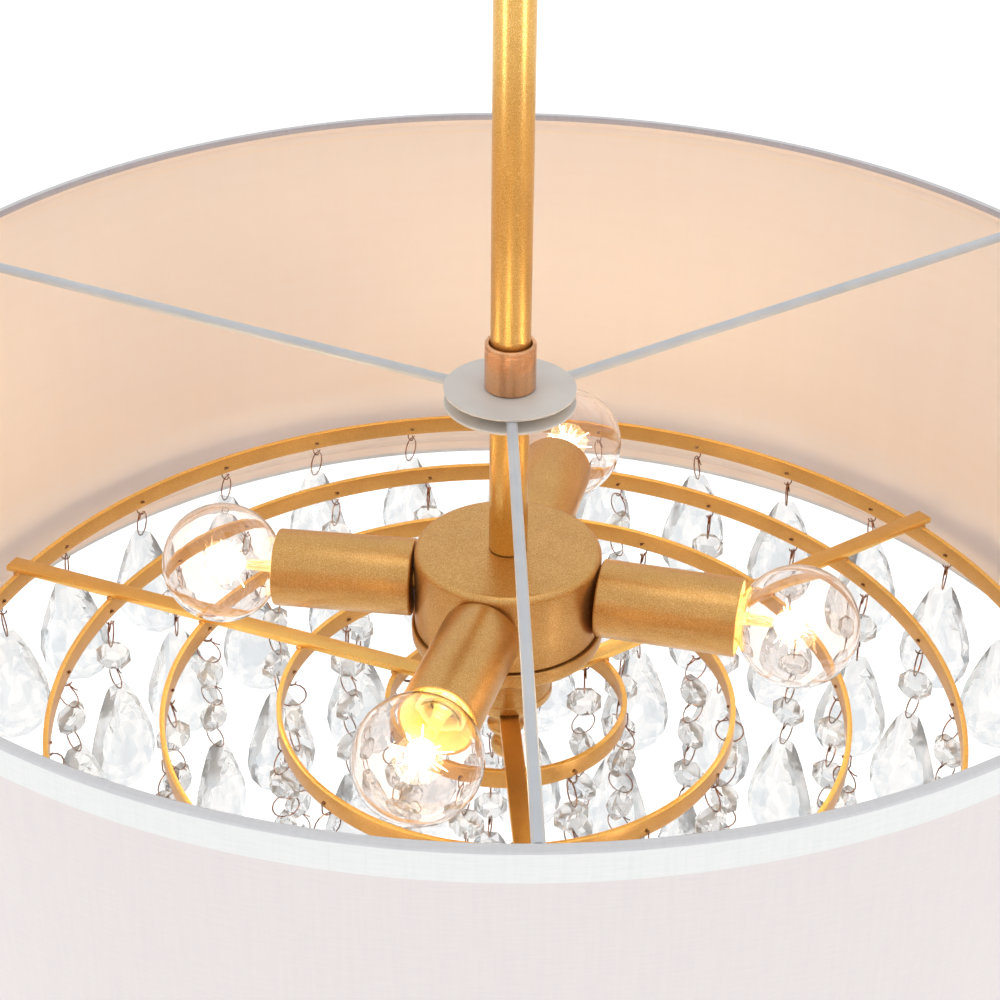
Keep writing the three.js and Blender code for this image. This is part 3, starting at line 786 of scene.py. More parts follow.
@dataclass
class Swivel:
    """Forked yoke, cross pin and the knuckle that grips the rod."""

    slot_half: float = 4.3 * MM
    tongue_half: float = 4.0 * MM
    tongue_radius: float = 6.5 * MM
    pin_radius: float = 2.0 * MM
    edge_round: float = 0.8 * MM
    air_over_tongue: float = 0.8 * MM
    lid: float = 3 * MM
    shoulder: float = 1.5 * MM
    neck_overlap: float = 1 * MM
    tongue_round: float = 0.5 * MM
    steps: int = 48

    def ear(self, side: int, low: float, high: float) -> bmesh.types.BMesh:
        """One ear of the fork: a slice off a cylinder.

        Args:
            side: 1 for the ear at +Y, -1 for the one at -Y.
            low: its lowest height.
            high: its highest height.

        Returns:
            The ear.
        """
        bm = turned_bar(reach("swivel_yoke"), low, high, self.steps)
        cut = bmesh.ops.bisect_plane(bm, geom=list(bm.verts) + list(bm.edges) + list(bm.faces),
                                     plane_co=(0, side * self.slot_half, 0), plane_no=(0, -side, 0),
                                     clear_outer=True)
        rim = [g for g in cut["geom_cut"] if isinstance(g, bmesh.types.BMEdge)]
        bmesh.ops.holes_fill(bm, edges=rim, sides=0)
        return soften(bm, self.edge_round, 3, 60)

    def build(self) -> None:
        """Builds yoke, pin and knuckle."""
        low, high = bottom("swivel_yoke"), top("swivel_yoke")
        tongue_top = top("swivel_knuckle")
        pivot = tongue_top - self.tongue_radius
        body_bottom = tongue_top + self.air_over_tongue
        body = soften(turned_bar(reach("swivel_yoke"), body_bottom, high, self.steps), self.edge_round, 3)
        yoke = merged(body, self.ear(1, low, body_bottom), self.ear(-1, low, body_bottom))
        piece(yoke, "yoke_fork", GOLD, Body.SWIVEL, ["swivel_yoke"])
        self.pin(pivot)
        self.knuckle(pivot)

    def pin(self, pivot: float) -> None:
        """Turns the cross pin with its two domed heads."""
        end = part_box("swivel_pin")[1][1]
        inside = reach("swivel_yoke") + CLEARANCE
        head = top("swivel_pin") - pivot
        dome = arc((head - self.edge_round, end - self.edge_round), self.edge_round, 90, 0, 4)
        half = [(0, end), *dome, (head, inside), (self.pin_radius, inside)]
        profile = half + [(radius, -height) for radius, height in reversed(half)]
        bm = moved(lathe(profile, self.steps), turn(QUARTER_TURN, "X"), shift(z=pivot))
        piece(bm, "cross_pin", GOLD, Body.SWIVEL, ["swivel_pin"])

    def knuckle(self, pivot: float) -> None:
        """Builds the knuckle: a tongue between the ears over a socket for the rod."""
        radius, low = reach("swivel_knuckle"), bottom("swivel_knuckle")
        socket = reach("upper_rod") + CLEARANCE
        floor = top("upper_rod") + CLEARANCE
        roof = floor + self.lid
        shoulder = arc((radius - self.shoulder, roof - self.shoulder), self.shoulder, 0, 90, 5)
        profile = [(0, floor), (socket, floor), (socket, low), (radius, low), *shoulder, (0, roof)]
        grip = lathe(profile, self.steps)
        eye = moved(turned_bar(self.tongue_radius, -self.tongue_half, self.tongue_half, self.steps),
                    turn(QUARTER_TURN, "X"), shift(z=pivot))
        neck = bmesh.new()
        bmesh.ops.create_cube(neck, size=1.0, matrix=shift(z=(pivot + roof) / 2) @ Matrix.Diagonal(
            (2 * self.tongue_radius, 2 * self.tongue_half, pivot - roof + self.neck_overlap, 1)))
        knuckle = merged(grip, soften(eye, self.tongue_round), soften(neck, self.tongue_round))
        piece(knuckle, "knuckle_grip", GOLD, Body.FIXTURE, ["swivel_knuckle"])


# Rods, collar and spider

@dataclass
class Rods:
    """The upper and lower rod and the bronze collar that joins them."""

    wall: float = 1.4 * MM
    lip: float = 0.5 * MM
    groove_depth: float = 0.25 * MM
    groove_drops: tuple[float, ...] = (2.4 * MM, 2.2 * MM, 1.9 * MM, 1.7 * MM)
    steps: int = 64

    def rod(self, node: str, name: str) -> None:
        """One length of painted tube."""
        bm = pipe(reach(node), reach(node) - self.wall, bottom(node), top(node), self.steps)
        piece(soften(bm, self.lip / 2, 2), name, ROD_GOLD_PAINTED_LIGHTER, Body.FIXTURE, [node])

    def collar(self) -> None:
        """The collar: a cup with a rolled lip, a fine groove under the lip and a seat for the rod."""
        radius, low, high = reach("coupling_collar"), bottom("coupling_collar"), top("coupling_collar")
        socket = reach("upper_rod") + CLEARANCE
        floor = bottom("upper_rod") - CLEARANCE
        bore = reach("rod_nipple") + CLEARANCE
        lip = (radius - socket) / 2
        sides = (radius, radius - self.groove_depth, radius - self.groove_depth, radius)
        groove = [(side, high - drop) for side, drop in zip(sides, self.groove_drops)]
        profile = [
            (bore, low), *arc((radius - self.lip, low + self.lip), self.lip, -90, 0, 4), *groove,
            *arc((radius - lip, high - lip), lip, 0, 180, 8), (socket, floor), (bore, floor)]
        piece(lathe(profile, self.steps, ring=True), "bronze_collar", BRONZE, Body.FIXTURE,
              ["coupling_collar"])

    def build(self) -> None:
        """Builds rods and collar, and plates the nipple between them."""
        self.rod("upper_rod", "upper_rod_tube")
        self.rod("lower_rod", "lower_rod_tube")
        self.collar()
        dress_node("rod_nipple", ZINC)


@dataclass
class Spider:
    """Two stamped discs that clamp the roots of three arms."""

    arm_radius: float = 1.9 * MM
    root: float = 11 * MM
    tip: float = 246.4 * MM
    level_past_disc: float = 4 * MM
    disc_round: float = 0.35 * MM
    steps: int = 96
    arms: int = 3

    def disc(self, node: str, name: str) -> None:
        """A stamped disc with rounded edges."""
        hole = reach("rod_nipple") + CLEARANCE
        bm = soften(pipe(reach(node), hole, bottom(node), top(node), self.steps), self.disc_round, 3)
        piece(bm, name, WHITE_ENAMEL, Body.FIXTURE, [node])

    def arm(self, number: int) -> None:
        """One arm: level between the discs, then rising gently into the rolled rim."""
        node = f"spider_arm_{number}"
        low, high = bottom(node) + self.arm_radius, top(node) - self.arm_radius
        rise = reach("spider_disc_upper") + self.level_past_disc
        bm = drawn_rod(self.arm_radius, 20, [(self.root, low), (rise, low), (self.tip, high)])
        moved(bm, turn(azimuth(node)))
        piece(bm, f"arm_{number}_rod", ARM_ENAMEL, Body.FIXTURE, [node])

    def build(self) -> None:
        """Builds discs and arms."""
        self.disc("spider_disc_upper", "clamp_disc_upper")
        self.disc("spider_disc_lower", "clamp_disc_lower")
        for number in range(1, self.arms + 1):
            self.arm(number)


# Drum shade

# The hem's flap under the roll: how far back from the roll's inner side, and how far from the
# shade's edge, in millimetres
HEM_FLAP = ((0, 2.4), (0.7, 4.0), (2.2, 5.2))


@dataclass
class DrumShade:
    """Cloth over a liner film, closed by a seam at the back, with hems rolled over the wires."""

    wall: float = 1.2 * MM
    proud: float = 0.6 * MM
    hem_height: float = 11 * MM
    roll_width: float = 4 * MM
    roll_corner: float = 1.6 * MM
    tape_bevel: float = 0.4 * MM
    flap: float = 0.45 * MM
    flap_start: float = 6.2 * MM
    flap_end: float = 8.2 * MM
    flap_edge: float = 8.5 * MM
    wall_inset: float = 1 * MM
    seam_width: float = 12 * MM
    seam_lap: float = 1 * MM
    seam_round: float = 0.12 * MM
    steps: int = 192

    def body(self) -> bpy.types.Object:
        """The wall: cloth outside and liner film inside."""
        outer = reach("drum_shade") - self.proud
        inset = self.roll_corner + self.wall_inset
        low, high = bottom("drum_shade") + inset, top("drum_shade") - inset
        bm = pipe(outer, outer - self.wall, low, high, self.steps)
        for face in bm.faces:
            inside = face.normal.xy.dot(face.calc_center_median().xy) < 0
            face.material_index = 1 if inside else 0
        cloth_map(bm, outer)
        return piece(bm, "shade_wall", [CLOTH, LINER], Body.FIXTURE, ["drum_shade"])

    def hem_section(self) -> list[Point]:
        """The hem's section: how far in from the outer face and how far from the edge."""
        corner, width = self.roll_corner, self.roll_width
        skin = self.proud
        liner = skin + self.wall
        mouth = liner + self.flap
        first = [(corner - x, corner - y) for x, y in arc((0, 0), corner, 0, 90, 6)]
        second = [(width - corner + x, corner - y) for x, y in arc((0, 0), corner, 90, 0, 6)]
        under_roll = [(width - back * MM, depth * MM) for back, depth in HEM_FLAP]
        return [(skin, self.hem_height), (0, self.hem_height - self.tape_bevel), *first, *second,
                *under_roll, (mouth, self.flap_start), (mouth, self.flap_end), (liner, self.flap_edge)]

    def hem(self, name: str, edge: float, inward: int, replaced: Sequence[str]) -> bpy.types.Object:
        """A hem rolled over its wire.

        Args:
            name: the piece's name.
            edge: the height of the shade's edge.
            inward: -1 for the top hem, whose cloth runs down from the edge, and 1 for the bottom one.
            replaced: the CAD nodes that it stands for.

        Returns:
            The hem.
        """
        tape, roll, inner_turn = 1 * MM, 2.5 * MM, 0.9 * MM
        outer = reach("drum_shade")
        bm = lathe([(outer - x, edge + inward * y) for x, y in self.hem_section()], self.steps, ring=True)
        for face in bm.faces:
            middle = face.calc_center_median()
            depth = inward * (middle.z - edge)
            inset = outer - middle.xy.length
            if inset < self.proud and depth > tape:
                face.material_index = 0
            # The roll is painted grey as shade, and the top roll's inner turn darker still as a painted
            # shadow
            elif depth < roll:
                face.material_index = 4 if inward < 0 and inset > self.roll_width - inner_turn else 1
            else:
                face.material_index = 3 if inward < 0 and depth > self.flap_end else 2
        cloth_map(bm, outer)
        finishes = [HEM_CLOTH, ROLL_TAPE_PAINTED_SHADE, LINER, LIT_LIP, ROLL_INNER_TURN_PAINTED_SHADOW]
        return piece(bm, name, finishes, Body.FIXTURE, replaced, crease=50)

    def seam(self) -> bpy.types.Object:
        """The lapped seam that closes the cloth at the back."""
        skin = reach("drum_shade") - self.proud
        low = bottom("drum_shade") + self.hem_height - self.seam_lap
        high = top("drum_shade") - self.hem_height + self.seam_lap
        angle = self.seam_width / skin
        bm = bmesh.new()
        bmesh.ops.create_grid(bm, x_segments=1, y_segments=1, size=0.5)
        size = Matrix.Diagonal((self.flap * 1.2, high - low, 1, 1))
        moved(bm, size, turn(QUARTER_TURN, "X"), shift(skin + 0.1 * self.flap, 0, (low + high) / 2))
        bmesh.ops.spin(bm, geom=list(bm.verts) + list(bm.edges) + list(bm.faces), cent=(0, 0, 0),
                       axis=(0, 0, 1), angle=angle, steps=6)
        bmesh.ops.recalc_face_normals(bm, faces=bm.faces)
        soften(moved(bm, turn(QUARTER_TURN - angle / 2)), self.seam_round, 1)
        cloth_map(bm, skin)
        return piece(bm, "shade_seam", CLOTH, Body.FIXTURE)

    def build(self) -> None:
        """Builds wall, hems and seam."""
        wall = self.body()
        hems = [self.hem("shade_hem_top", top("drum_shade"), -1, ["shade_top_wire"]),
                self.hem("shade_hem_bottom", bottom("drum_shade"), 1, [])]
        self.seam()


# Lamp cluster

# The finial's bell: widths as shares of its greatest radius, and heights over the bell's edge in
# millimetres
FINIAL_BELL = ((0.5, -1.2), (0.9, 0), (1, 1), (1, 2.2), (0.72, 3.6), (0.6, 6))


@dataclass
class LampHousing:
    """The gold cylinder that carries the lamp arms, with base cap, hub, washer and finial under it."""

    wall: float = 1.2 * MM
    top_round: float = 3.0 * MM
    cap_round: float = 1.8 * MM
    rim_drop: float = 0.8 * MM
    rim_round: float = 0.5 * MM
    hub_wall: float = 1.6 * MM
    hub_inner_round: float = 1.0 * MM
    hub_outer_round: float = 2.0 * MM
    hub_lip_height: float = 3.2 * MM
    hub_lip_proud: float = 0.4 * MM
    washer_round: float = 0.4 * MM
    bell_drop: float = 13 * MM
    neck_bevel: float = 1 * MM
    stem_bore: float = 3.3 * MM
    steps: int = 128

    def housing(self) -> None:
        """A drawn cup, open below, with a soft top edge."""
        radius, low, high = reach("lamp_housing"), bottom("lamp_housing"), top("lamp_housing")
        hole = reach("centre_stem") + CLEARANCE
        centre = (radius - self.top_round, high - self.top_round)
        profile = [
            (radius - self.wall, low), (radius, low), *arc(centre, self.top_round, 0, 90, 8), (hole, high),
            (hole, high - self.wall), *arc(centre, self.top_round - self.wall, 90, 0, 6)]
        gold_turning(profile, self.steps, "housing_cup", "lamp_housing")

    def base_cap(self) -> None:
        """A shallow pan that closes the housing and stands a little proud of it."""
        radius, low, high = reach("housing_base_cap"), bottom("housing_base_cap"), top("housing_base_cap")
        inner = reach("lamp_housing") - self.wall - CLEARANCE
        rim = bottom("lamp_housing") - self.rim_drop
        hole = self.stem_bore
        profile = [
            (hole, low), *arc((radius - self.cap_round, low + self.cap_round), self.cap_round, -90, 0, 6),
            *arc((radius - self.rim_round, rim - self.rim_round), self.rim_round, 0, 90, 3),
            (inner, rim), (inner, high), (inner - self.wall, high), (inner - self.wall, low + self.wall),
            (hole, low + self.wall)]
        gold_turning(profile, self.steps, "base_cap_pan", "housing_base_cap")

    def hub(self) -> None:
        """The hub: an open cup, mouth down, with a rolled lip."""
        radius, low, high = reach("bar_hub"), bottom("bar_hub"), top("bar_hub")
        wall, hole, step = self.hub_wall, self.stem_bore, self.hub_lip_proud
        inner, outer = self.hub_inner_round, self.hub_outer_round
        lip = low + self.hub_lip_height
        profile = [
            (hole, high), (hole, high - wall),
            *arc((radius - wall - inner, high - wall - inner), inner, 90, 0, 4),
            (radius - wall, low + wall / 2), *arc((radius - wall / 2, low + wall / 2), wall / 2, 180, 360, 8),
            (radius, lip), (radius - step, lip + step),
            *arc((radius - step - outer, high - outer), outer, 0, 90, 5)]
        gold_turning(profile, self.steps, "hub_cup", "bar_hub")
        washer = pipe(reach("hub_washer"), hole, bottom("hub_washer"), top("hub_washer"), self.steps)
        soften(washer, self.washer_round)
        piece(washer, "hub_washer_disc", GOLD, Body.FIXTURE, ["hub_washer"])

    def finial(self) -> None:
        """The finial nut: a bell, a neck and a ball, with a blind hole for the stem."""
        high, low = top("finial"), bottom("finial")
        widest = reach("finial")
        bore = self.stem_bore
        floor = bottom("centre_stem") - CLEARANCE
        ball = 0.8 * widest
        centre = low + ball
        edge = high - self.bell_drop
        bell = [(share * widest, edge + rise * MM) for share, rise in FINIAL_BELL]
        profile = [
            (0, low), *arc((0, centre), ball, -75, 55, 12), (0.46 * widest, centre + 0.95 * ball), *bell,
            (0.62 * widest, high - self.neck_bevel), (0.68 * widest, high),
            (bore, high), (bore, floor), (0, floor)]
        piece(lathe(profile, 64), "finial_nut_turning", GOLD, Body.FINIAL, ["finial"], crease=55)

    def build(self) -> None:
        """Builds the cylinder and all under it."""
        self.housing()
        self.base_cap()
        self.hub()
        self.finial()


# The lamp holder's mouth: how far in from its side, and how far back from its end, in millimetres
HOLDER_MOUTH = ((0, 5), (0.7, 4.4), (0.7, 0.8), (1.5, 0))
# The screw base's contact and cone: radius, and height over the metal's lower end, in millimetres
LAMP_CONTACT = ((0, -2), (2.4, -2), (3, -1), (5.8, 1))
# The glass stem's foot: radius, and height over the foot's end, in millimetres
STEM_FOOT = ((0, 0), (4.6, 0), (3.4, 4), (2.4, 10))
# The globe's flare at its neck: how far out from the neck, and how far below the ball, in millimetres
GLOBE_FLARE = ((0.9, 3.2), (2.4, 1.2))


@dataclass
class LampArm:
    """One lamp arm: the cup, the lamp holder in it and the lamp."""

    number: int
    height: float
    azimuth: float
    cup_radius: float = 14.5 * MM
    cup_wall: float = 1.2 * MM
    cup_back: float = 1.6 * MM
    cup_round: float = 1.0 * MM
    cup_start: float = 34.9 * MM
    cup_length: float = 52 * MM
    spigot_radius: float = 4 * MM
    spigot_length: float = 6 * MM
    holder_radius: float = 10 * MM
    holder_seat: float = 1.9 * MM
    holder_below_mouth: float = 6.3 * MM
    holder_chamfer: float = 0.6 * MM
    holder_lead_in: tuple[float, float] = (0.8 * MM, 1 * MM)
    contact_room: float = 2.3 * MM
    bore: float = 7.2 * MM
    globe_radius: float = 22.5 * MM
    globe_from_mouth: float = 21.2 * MM
    neck_radius: float = 6.6 * MM
    neck_drop: float = 33.3 * MM
    neck_length: float = 8 * MM
    globe_wall: float = 0.55 * MM
    globe_opening: float = -62
    base_length: float = 22 * MM
    base_radius: float = 6.9 * MM
    base_collar: float = 3 * MM
    base_collar_inset: float = 0.3 * MM
    base_eyelet: float = 2.5 * MM
    thread_turns: int = 5
    thread_start: float = 3 * MM
    thread_ends: float = 7 * MM
    thread_depths: tuple[float, float] = (0.1 * MM, 0.7 * MM)
    filament_setback: float = 3 * MM
    filament_core: tuple[float, float, float] = (5 * MM, 5 * MM, 5.6 * MM)
    ray_lengths: tuple[float, float] = (8.5 * MM, 11 * MM)
    ray_root: float = 0.5 * MM
    ray_tip: float = 0.12 * MM
    rays: int = 22
    light_watts: float = 0.2
    light_colour: str = "#FFDFA2"
    light_radius: float = 9 * MM
    steps: int = 64

    @property
    def mouth(self) -> float:
        """How far out the cup's mouth is."""
        return self.cup_start + self.cup_length

    @property
    def globe_centre(self) -> float:
        """How far out the globe's centre is."""
        return self.mouth + self.globe_from_mouth

    @property
    def base_top(self) -> float:
        """How far out the lamp's screw base ends and its glass begins."""
        return self.globe_centre - self.neck_drop

    def out(self, bm: bmesh.types.BMesh) -> bmesh.types.BMesh:
        """Lays a shape that was turned about Z along the arm."""
        return moved(bm, turn(QUARTER_TURN, "Y"), turn(self.azimuth), shift(z=self.height))

    def body(self) -> str:
        """The lamp's own body."""
        return f"lamp_{self.number}"

    def cup(self) -> None:
        """The cup: a straight tube with a flat back and a short spigot into the housing."""
        start, spigot, lip = self.cup_start, self.spigot_radius, self.cup_wall / 2
        corner = self.cup_round
        profile = [
            (0, start - self.spigot_length), (spigot, start - self.spigot_length), (spigot, start),
            *arc((self.cup_radius - corner, start + corner), corner, -90, 0, 4),
            *arc((self.cup_radius - lip, self.mouth - lip), lip, 0, 180, 6),
            (self.cup_radius - self.cup_wall, start + self.cup_back), (0, start + self.cup_back)]
        bm = lathe(profile, self.steps)
        # Faces inside the cup get painted lamplight, a pale yellow in place of the gold
        inside_limit = self.cup_radius - self.cup_wall + 0.1 * MM
        for face in bm.faces:
            middle = face.calc_center_median()
            inside = middle.xy.length < inside_limit and middle.z > start + corner
            face.material_index = 1 if inside else 0
        piece(self.out(bm), f"cup_{self.number}", [GOLD, CUP_INSIDE_PAINTED_LAMPLIGHT], Body.FIXTURE,
              [f"socket_cup_{self.number}"])

    def holder(self) -> None:
        """The lamp holder: a ceramic sleeve, stepped in near its mouth, with a blind bore for the lamp."""
        radius, bore = self.holder_radius, self.bore
        start = self.cup_start + self.holder_seat
        end = self.mouth - self.holder_below_mouth
        floor = self.base_top - self.base_length - self.contact_room
        chamfer = self.holder_chamfer
        wider, deeper = self.holder_lead_in
        mouth = [(radius - inset * MM, end - back * MM) for inset, back in HOLDER_MOUTH]
        profile = [
            (0, start), (radius - chamfer, start), (radius, start + chamfer), *mouth,
            (bore + wider, end), (bore, end - deeper), (bore, floor), (0, floor)]
        sleeve = self.out(lathe(profile, self.steps))
        piece(sleeve, f"holder_{self.number}", CERAMIC_WITH_PAINTED_LAMPLIGHT, Body.FIXTURE,
              [f"lamp_holder_{self.number}"])

    def base(self) -> None:
        """The lamp's screw base: rolled threads over a cone that ends in a contact."""
        high = self.base_top
        low = high - self.base_length
        step = (self.base_length - self.thread_ends) / (2 * self.thread_turns)
        contact = [(width * MM, low + rise * MM) for width, rise in LAMP_CONTACT]
        thread = [(self.base_radius - self.thread_depths[i % 2], low + self.thread_start + i * step)
                  for i in range(2 * self.thread_turns + 1)]
        collar = self.base_radius - self.base_collar_inset
        profile = [*contact, *thread, (collar, high - self.base_collar), (collar, high),
                   (self.base_eyelet, high), (0, high)]
        shell = self.out(lathe(profile, 40))
        piece(shell, f"screw_base_{self.number}", NICKEL, self.body(),
              [f"lamp_base_{self.number}"], crease=60)

    def mount(self) -> None:
        """The glass stem inside the globe, flared at its foot and pinched at its tip."""
        foot = self.base_top + 0.5 * MM
        tip = self.globe_centre - 9 * MM
        profile = [
            *[(width * MM, foot + rise * MM) for width, rise in STEM_FOOT],
            (2.0 * MM, tip - 3 * MM), *arc((0, tip - 1.4 * MM), 1.9 * MM, 10, 90, 4)]
        stem = self.out(lathe(profile, 24))
        piece(stem, f"glass_stem_{self.number}", STEM_GLASS, self.body())

    def filament(self) -> None:
        """The filament: a hot coil, and round it a fan of thin glowing rays that paint a star of glare."""
        centre = self.globe_centre - self.filament_setback
        golden = math.pi * (3 - math.sqrt(5))
        rays = []
        for i in range(self.rays):
            lean = math.acos(1 - 1.5 * (i + 0.5) / self.rays)
            length = self.ray_lengths[i % 2]
            ray = lathe([(0, 0), (self.ray_root, 0), (self.ray_tip, length), (0, length)], 6)
            rays.append(moved(ray, turn(lean, "Y"), turn(i * golden), shift(z=centre)))
        core = bmesh.new()
        bmesh.ops.create_uvsphere(core, u_segments=24, v_segments=16, radius=1.0,
                                  matrix=shift(z=centre) @ Matrix.Diagonal((*self.filament_core, 1)))
        piece(self.out(merged(*rays)), f"filament_{self.number}", PAINTED_GLARE_RAYS, self.body())
        piece(self.out(core), f"lit_tip_{self.number}", HOT_TIP, self.body())

    def globe(self) -> None:
        """The blown globe: a thin shell that narrows to a neck in the base."""
        opening = self.globe_opening
        start = self.base_top + CLEARANCE
        skins = []
        for inset in (0.0, self.globe_wall):
            neck = self.neck_radius - inset
            radius = self.globe_radius - inset
            ball = self.globe_centre + radius * math.sin(math.radians(opening))
            flare = [(neck + out * MM, ball - below * MM) for out, below in GLOBE_FLARE]
            skins.append([(neck, start), (neck, start + self.neck_length), *flare,
                          *arc((0, self.globe_centre), radius, opening, 90, 32)])
        outside, inside = skins
        shell = lathe([*reversed(outside), *inside], self.steps)
        glass = piece(self.out(shell), f"globe_{self.number}", GLOBE_GLASS, self.body(),
                      [f"lamp_glass_{self.number}"], crease=80)
        glass.visible_shadow = False

    def light(self) -> None:
        """The light that the lamp gives to what is round it."""
        lamp = bpy.data.lights.new(f"lamp_light_{self.number}", "POINT")
        lamp.energy = self.light_watts
        lamp.color = linear(self.light_colour)[:3]
        lamp.shadow_soft_size = self.light_radius
        holder = bpy.data.objects.new(lamp.name, lamp)
        along = Vector((self.globe_centre, 0, 0))
        along.rotate(turn(self.azimuth))
        holder.location = along + Vector((0, 0, self.height))
        hide_from_view(holder)
        bpy.context.scene.collection.objects.link(holder)
        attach(holder, self.body())

    def build(self) -> None:
        """Builds cup, holder and lamp."""
        self.cup()
        self.holder()
        self.base()
        self.mount()
        self.filament()
        self.globe()
        self.light()


# Bars, hoops and crystal strands

@dataclass(frozen=True)
class HoopPlan:
    """One hoop: its size, its strands and how they hang."""

    name: str
    radius: float
    strands: int
    beads: int
    first_degrees: float
    twist: float
    pendant_stretch: float = 1.1

    def azimuth(self, number: int) -> float:
        """Direction of a hook's hole, in radians."""
        return math.radians(self.first_degrees) + FULL_TURN * number / self.strands


HOOPS = (
    HoopPlan("outer", 220 * MM, 30, 0, 90, 56),
    HoopPlan("second", 175 * MM, 25, 1, 87.4, 48),
    HoopPlan("third", 132 * MM, 19, 2, 82, 40),
    HoopPlan("fourth", 88 * MM, 13, 3, 83.3, 18),
    HoopPlan("inner", 46.5 * MM, 7, 4, 303, 14, 1.0),
)


@dataclass
class HoopRack:
    """Three flat bars and five pierced bands that are welded under them."""

    band_thickness: float = 2 * MM
    hole_drop: float = 5.2 * MM
    hole_width: float = 1.7 * MM
    edge_round: float = 0.45 * MM
    bar_width: float = 7.5 * MM
    bar_start: float = 9 * MM
    bar_end: float = 224 * MM
    bar_count: int = 3
    facet: float = 5 * MM
    weld_size: tuple[float, float, float] = (1.7 * MM, 1.1 * MM, 0.9 * MM)
    weld_sink: float = 0.1 * MM

    def bar(self, number: int) -> None:
        """One bar, flat on top of the bands."""
        node = f"hoop_bar_{number}"
        bm = flat_bar(self.bar_start, self.bar_end, self.bar_width, bottom(node), top(node))
        for face in bm.faces:
            # Side faces get the painted highlight
            face.material_index = 1 if -0.5 < face.normal.z < 0.95 else 0
        moved(bm, turn(azimuth(node)))
        piece(bm, f"bar_{number}_flat", [ROD_GOLD_PAINTED_LIGHTER, PAINTED_HIGHLIGHT_GOLD], Body.FIXTURE, [node])

    def welds(self) -> None:
        """Weld beads where the bars cross the bands, two to a crossing."""
        template = bmesh.new()
        bmesh.ops.create_icosphere(template, subdivisions=2, radius=1.0,
                                   matrix=Matrix.Diagonal((*self.weld_size, 1)))
        height = top("hoop_inner") - self.weld_sink
        places = [
            turn(azimuth(f"hoop_bar_{i + 1}")) @ shift(plan.radius - self.band_thickness / 2,
                                                       side * self.bar_width / 2, height)
            for i in range(self.bar_count) for plan in HOOPS for side in (-1, 1)]
        piece(copies(template, places), "bar_welds", GOLD, Body.FIXTURE)

    def section(self, radius: float) -> list[Point]:
        """The band's section, with points above and below the row of holes."""
        low, high = bottom("hoop_inner"), top("hoop_inner")
        row = high - self.hole_drop
        half = self.hole_width / 2
        soft = self.edge_round
        outer, inner = radius, radius - self.band_thickness
        return [
            (outer, row - half), (outer, row + half), *arc((outer - soft, high - soft), soft, 0, 90, 2),
            *arc((inner + soft, high - soft), soft, 90, 180, 2), (inner, row + half), (inner, row - half),
            *arc((inner + soft, low + soft), soft, 180, 270, 2),
            *arc((outer - soft, low + soft), soft, 270, 360, 2)]

    def band(self, plan: HoopPlan) -> None:
        """One band, rolled with a narrow facet at each hole, and pierced.

        Args:
            plan: the hoop.
        """
        pitch = FULL_TURN / plan.strands
        narrow = self.hole_width / (plan.radius - self.band_thickness / 2)
        steps = max(3, round((pitch - narrow) * plan.radius / self.facet))
        bm = bmesh.new()
        verts = [bm.verts.new((radius, 0, height)) for radius, height in self.section(plan.radius)]
        geom = verts + [bm.edges.new(pair) for pair in zip(verts, verts[1:] + verts[:1])]
        moved(bm, turn(plan.azimuth(0) - narrow / 2))
        for _ in range(plan.strands):
            for angle, count in ((narrow, 1), (pitch - narrow, steps)):
                swept = bmesh.ops.spin(bm, geom=geom, cent=(0, 0, 0), axis=(0, 0, 1), angle=angle,
                                       steps=count)
                geom = swept["geom_last"]
        bmesh.ops.remove_doubles(bm, verts=bm.verts, dist=MERGE)
        bmesh.ops.recalc_face_normals(bm, faces=bm.faces)
        self.pierce(bm, plan)
        for face in bm.faces:
            # Upward faces get the painted highlight
            face.material_index = 1 if face.normal.z > 0.3 else 0
        piece(bm, f"band_{plan.name}", [HOOP_GOLD_PAINTED_DARKER, PAINTED_HIGHLIGHT_GOLD], Body.FIXTURE,
              [f"hoop_{plan.name}"])

    def pierce(self, bm: bmesh.types.BMesh, plan: HoopPlan) -> None:
        """Opens an eight-sided hole at each hook.

        Args:
            bm: the band.
            plan: the hoop.
        """
        row = top("hoop_inner") - self.hole_drop
        half = self.hole_width / 2
        skins = (plan.radius, plan.radius - self.band_thickness)
        spots = []
        for number in range(plan.strands):
            for skin in skins:
                spot = Vector((skin * math.cos(half / plan.radius), 0, row))
                spot.rotate(turn(plan.azimuth(number)))
                spots.append(spot)
        ends = self.faces_at(bm, spots)
        bmesh.ops.bisect_edges(bm, edges=list({e for face in ends for e in face.edges}), cuts=1)
        for face, spot in zip(self.faces_at(bm, spots), spots):
            for vert in face.verts:
                away = vert.co - spot
                if away.length > 1.2 * half:
                    vert.co = spot + away * (half / away.length)
        ends = self.faces_at(bm, spots)
        for pair in zip(ends[::2], ends[1::2]):
            rims = [e for face in pair for e in face.edges]
            bmesh.ops.delete(bm, geom=list(pair), context="FACES_ONLY")
            bmesh.ops.bridge_loops(bm, edges=rims)
        bmesh.ops.recalc_face_normals(bm, faces=bm.faces)

    def faces_at(self, bm: bmesh.types.BMesh, spots: Sequence[Vector]) -> list[bmesh.types.BMFace]:
        """The faces whose middles are at some points.

        Args:
            bm: the band.
            spots: the points.

        Returns:
            One face for each point.
        """
        row = spots[0].z
        middles = [(face, face.calc_center_median()) for face in bm.faces]
        near = [pair for pair in middles if abs(pair[1].z - row) < 0.2 * MM]
        return [min(near, key=lambda pair: (pair[1] - spot).length)[0] for spot in spots]

    def build(self) -> None:
        """Builds bars, bands and welds."""
        for number in range(1, self.bar_count + 1):
            self.bar(number)
        for plan in HOOPS:
            self.band(plan)
        self.welds()
        dress_node("centre_stem", ZINC)


# Half of a pendant's outline: how far out and how far down, in millimetres
PEAR = (
    (3.4, 0), (5.8, 3.5), (8.9, 10), (12.0, 18), (14.6, 26),
    (15.5, 33.5), (14.0, 41), (10.0, 46.8), (4.0, 50))


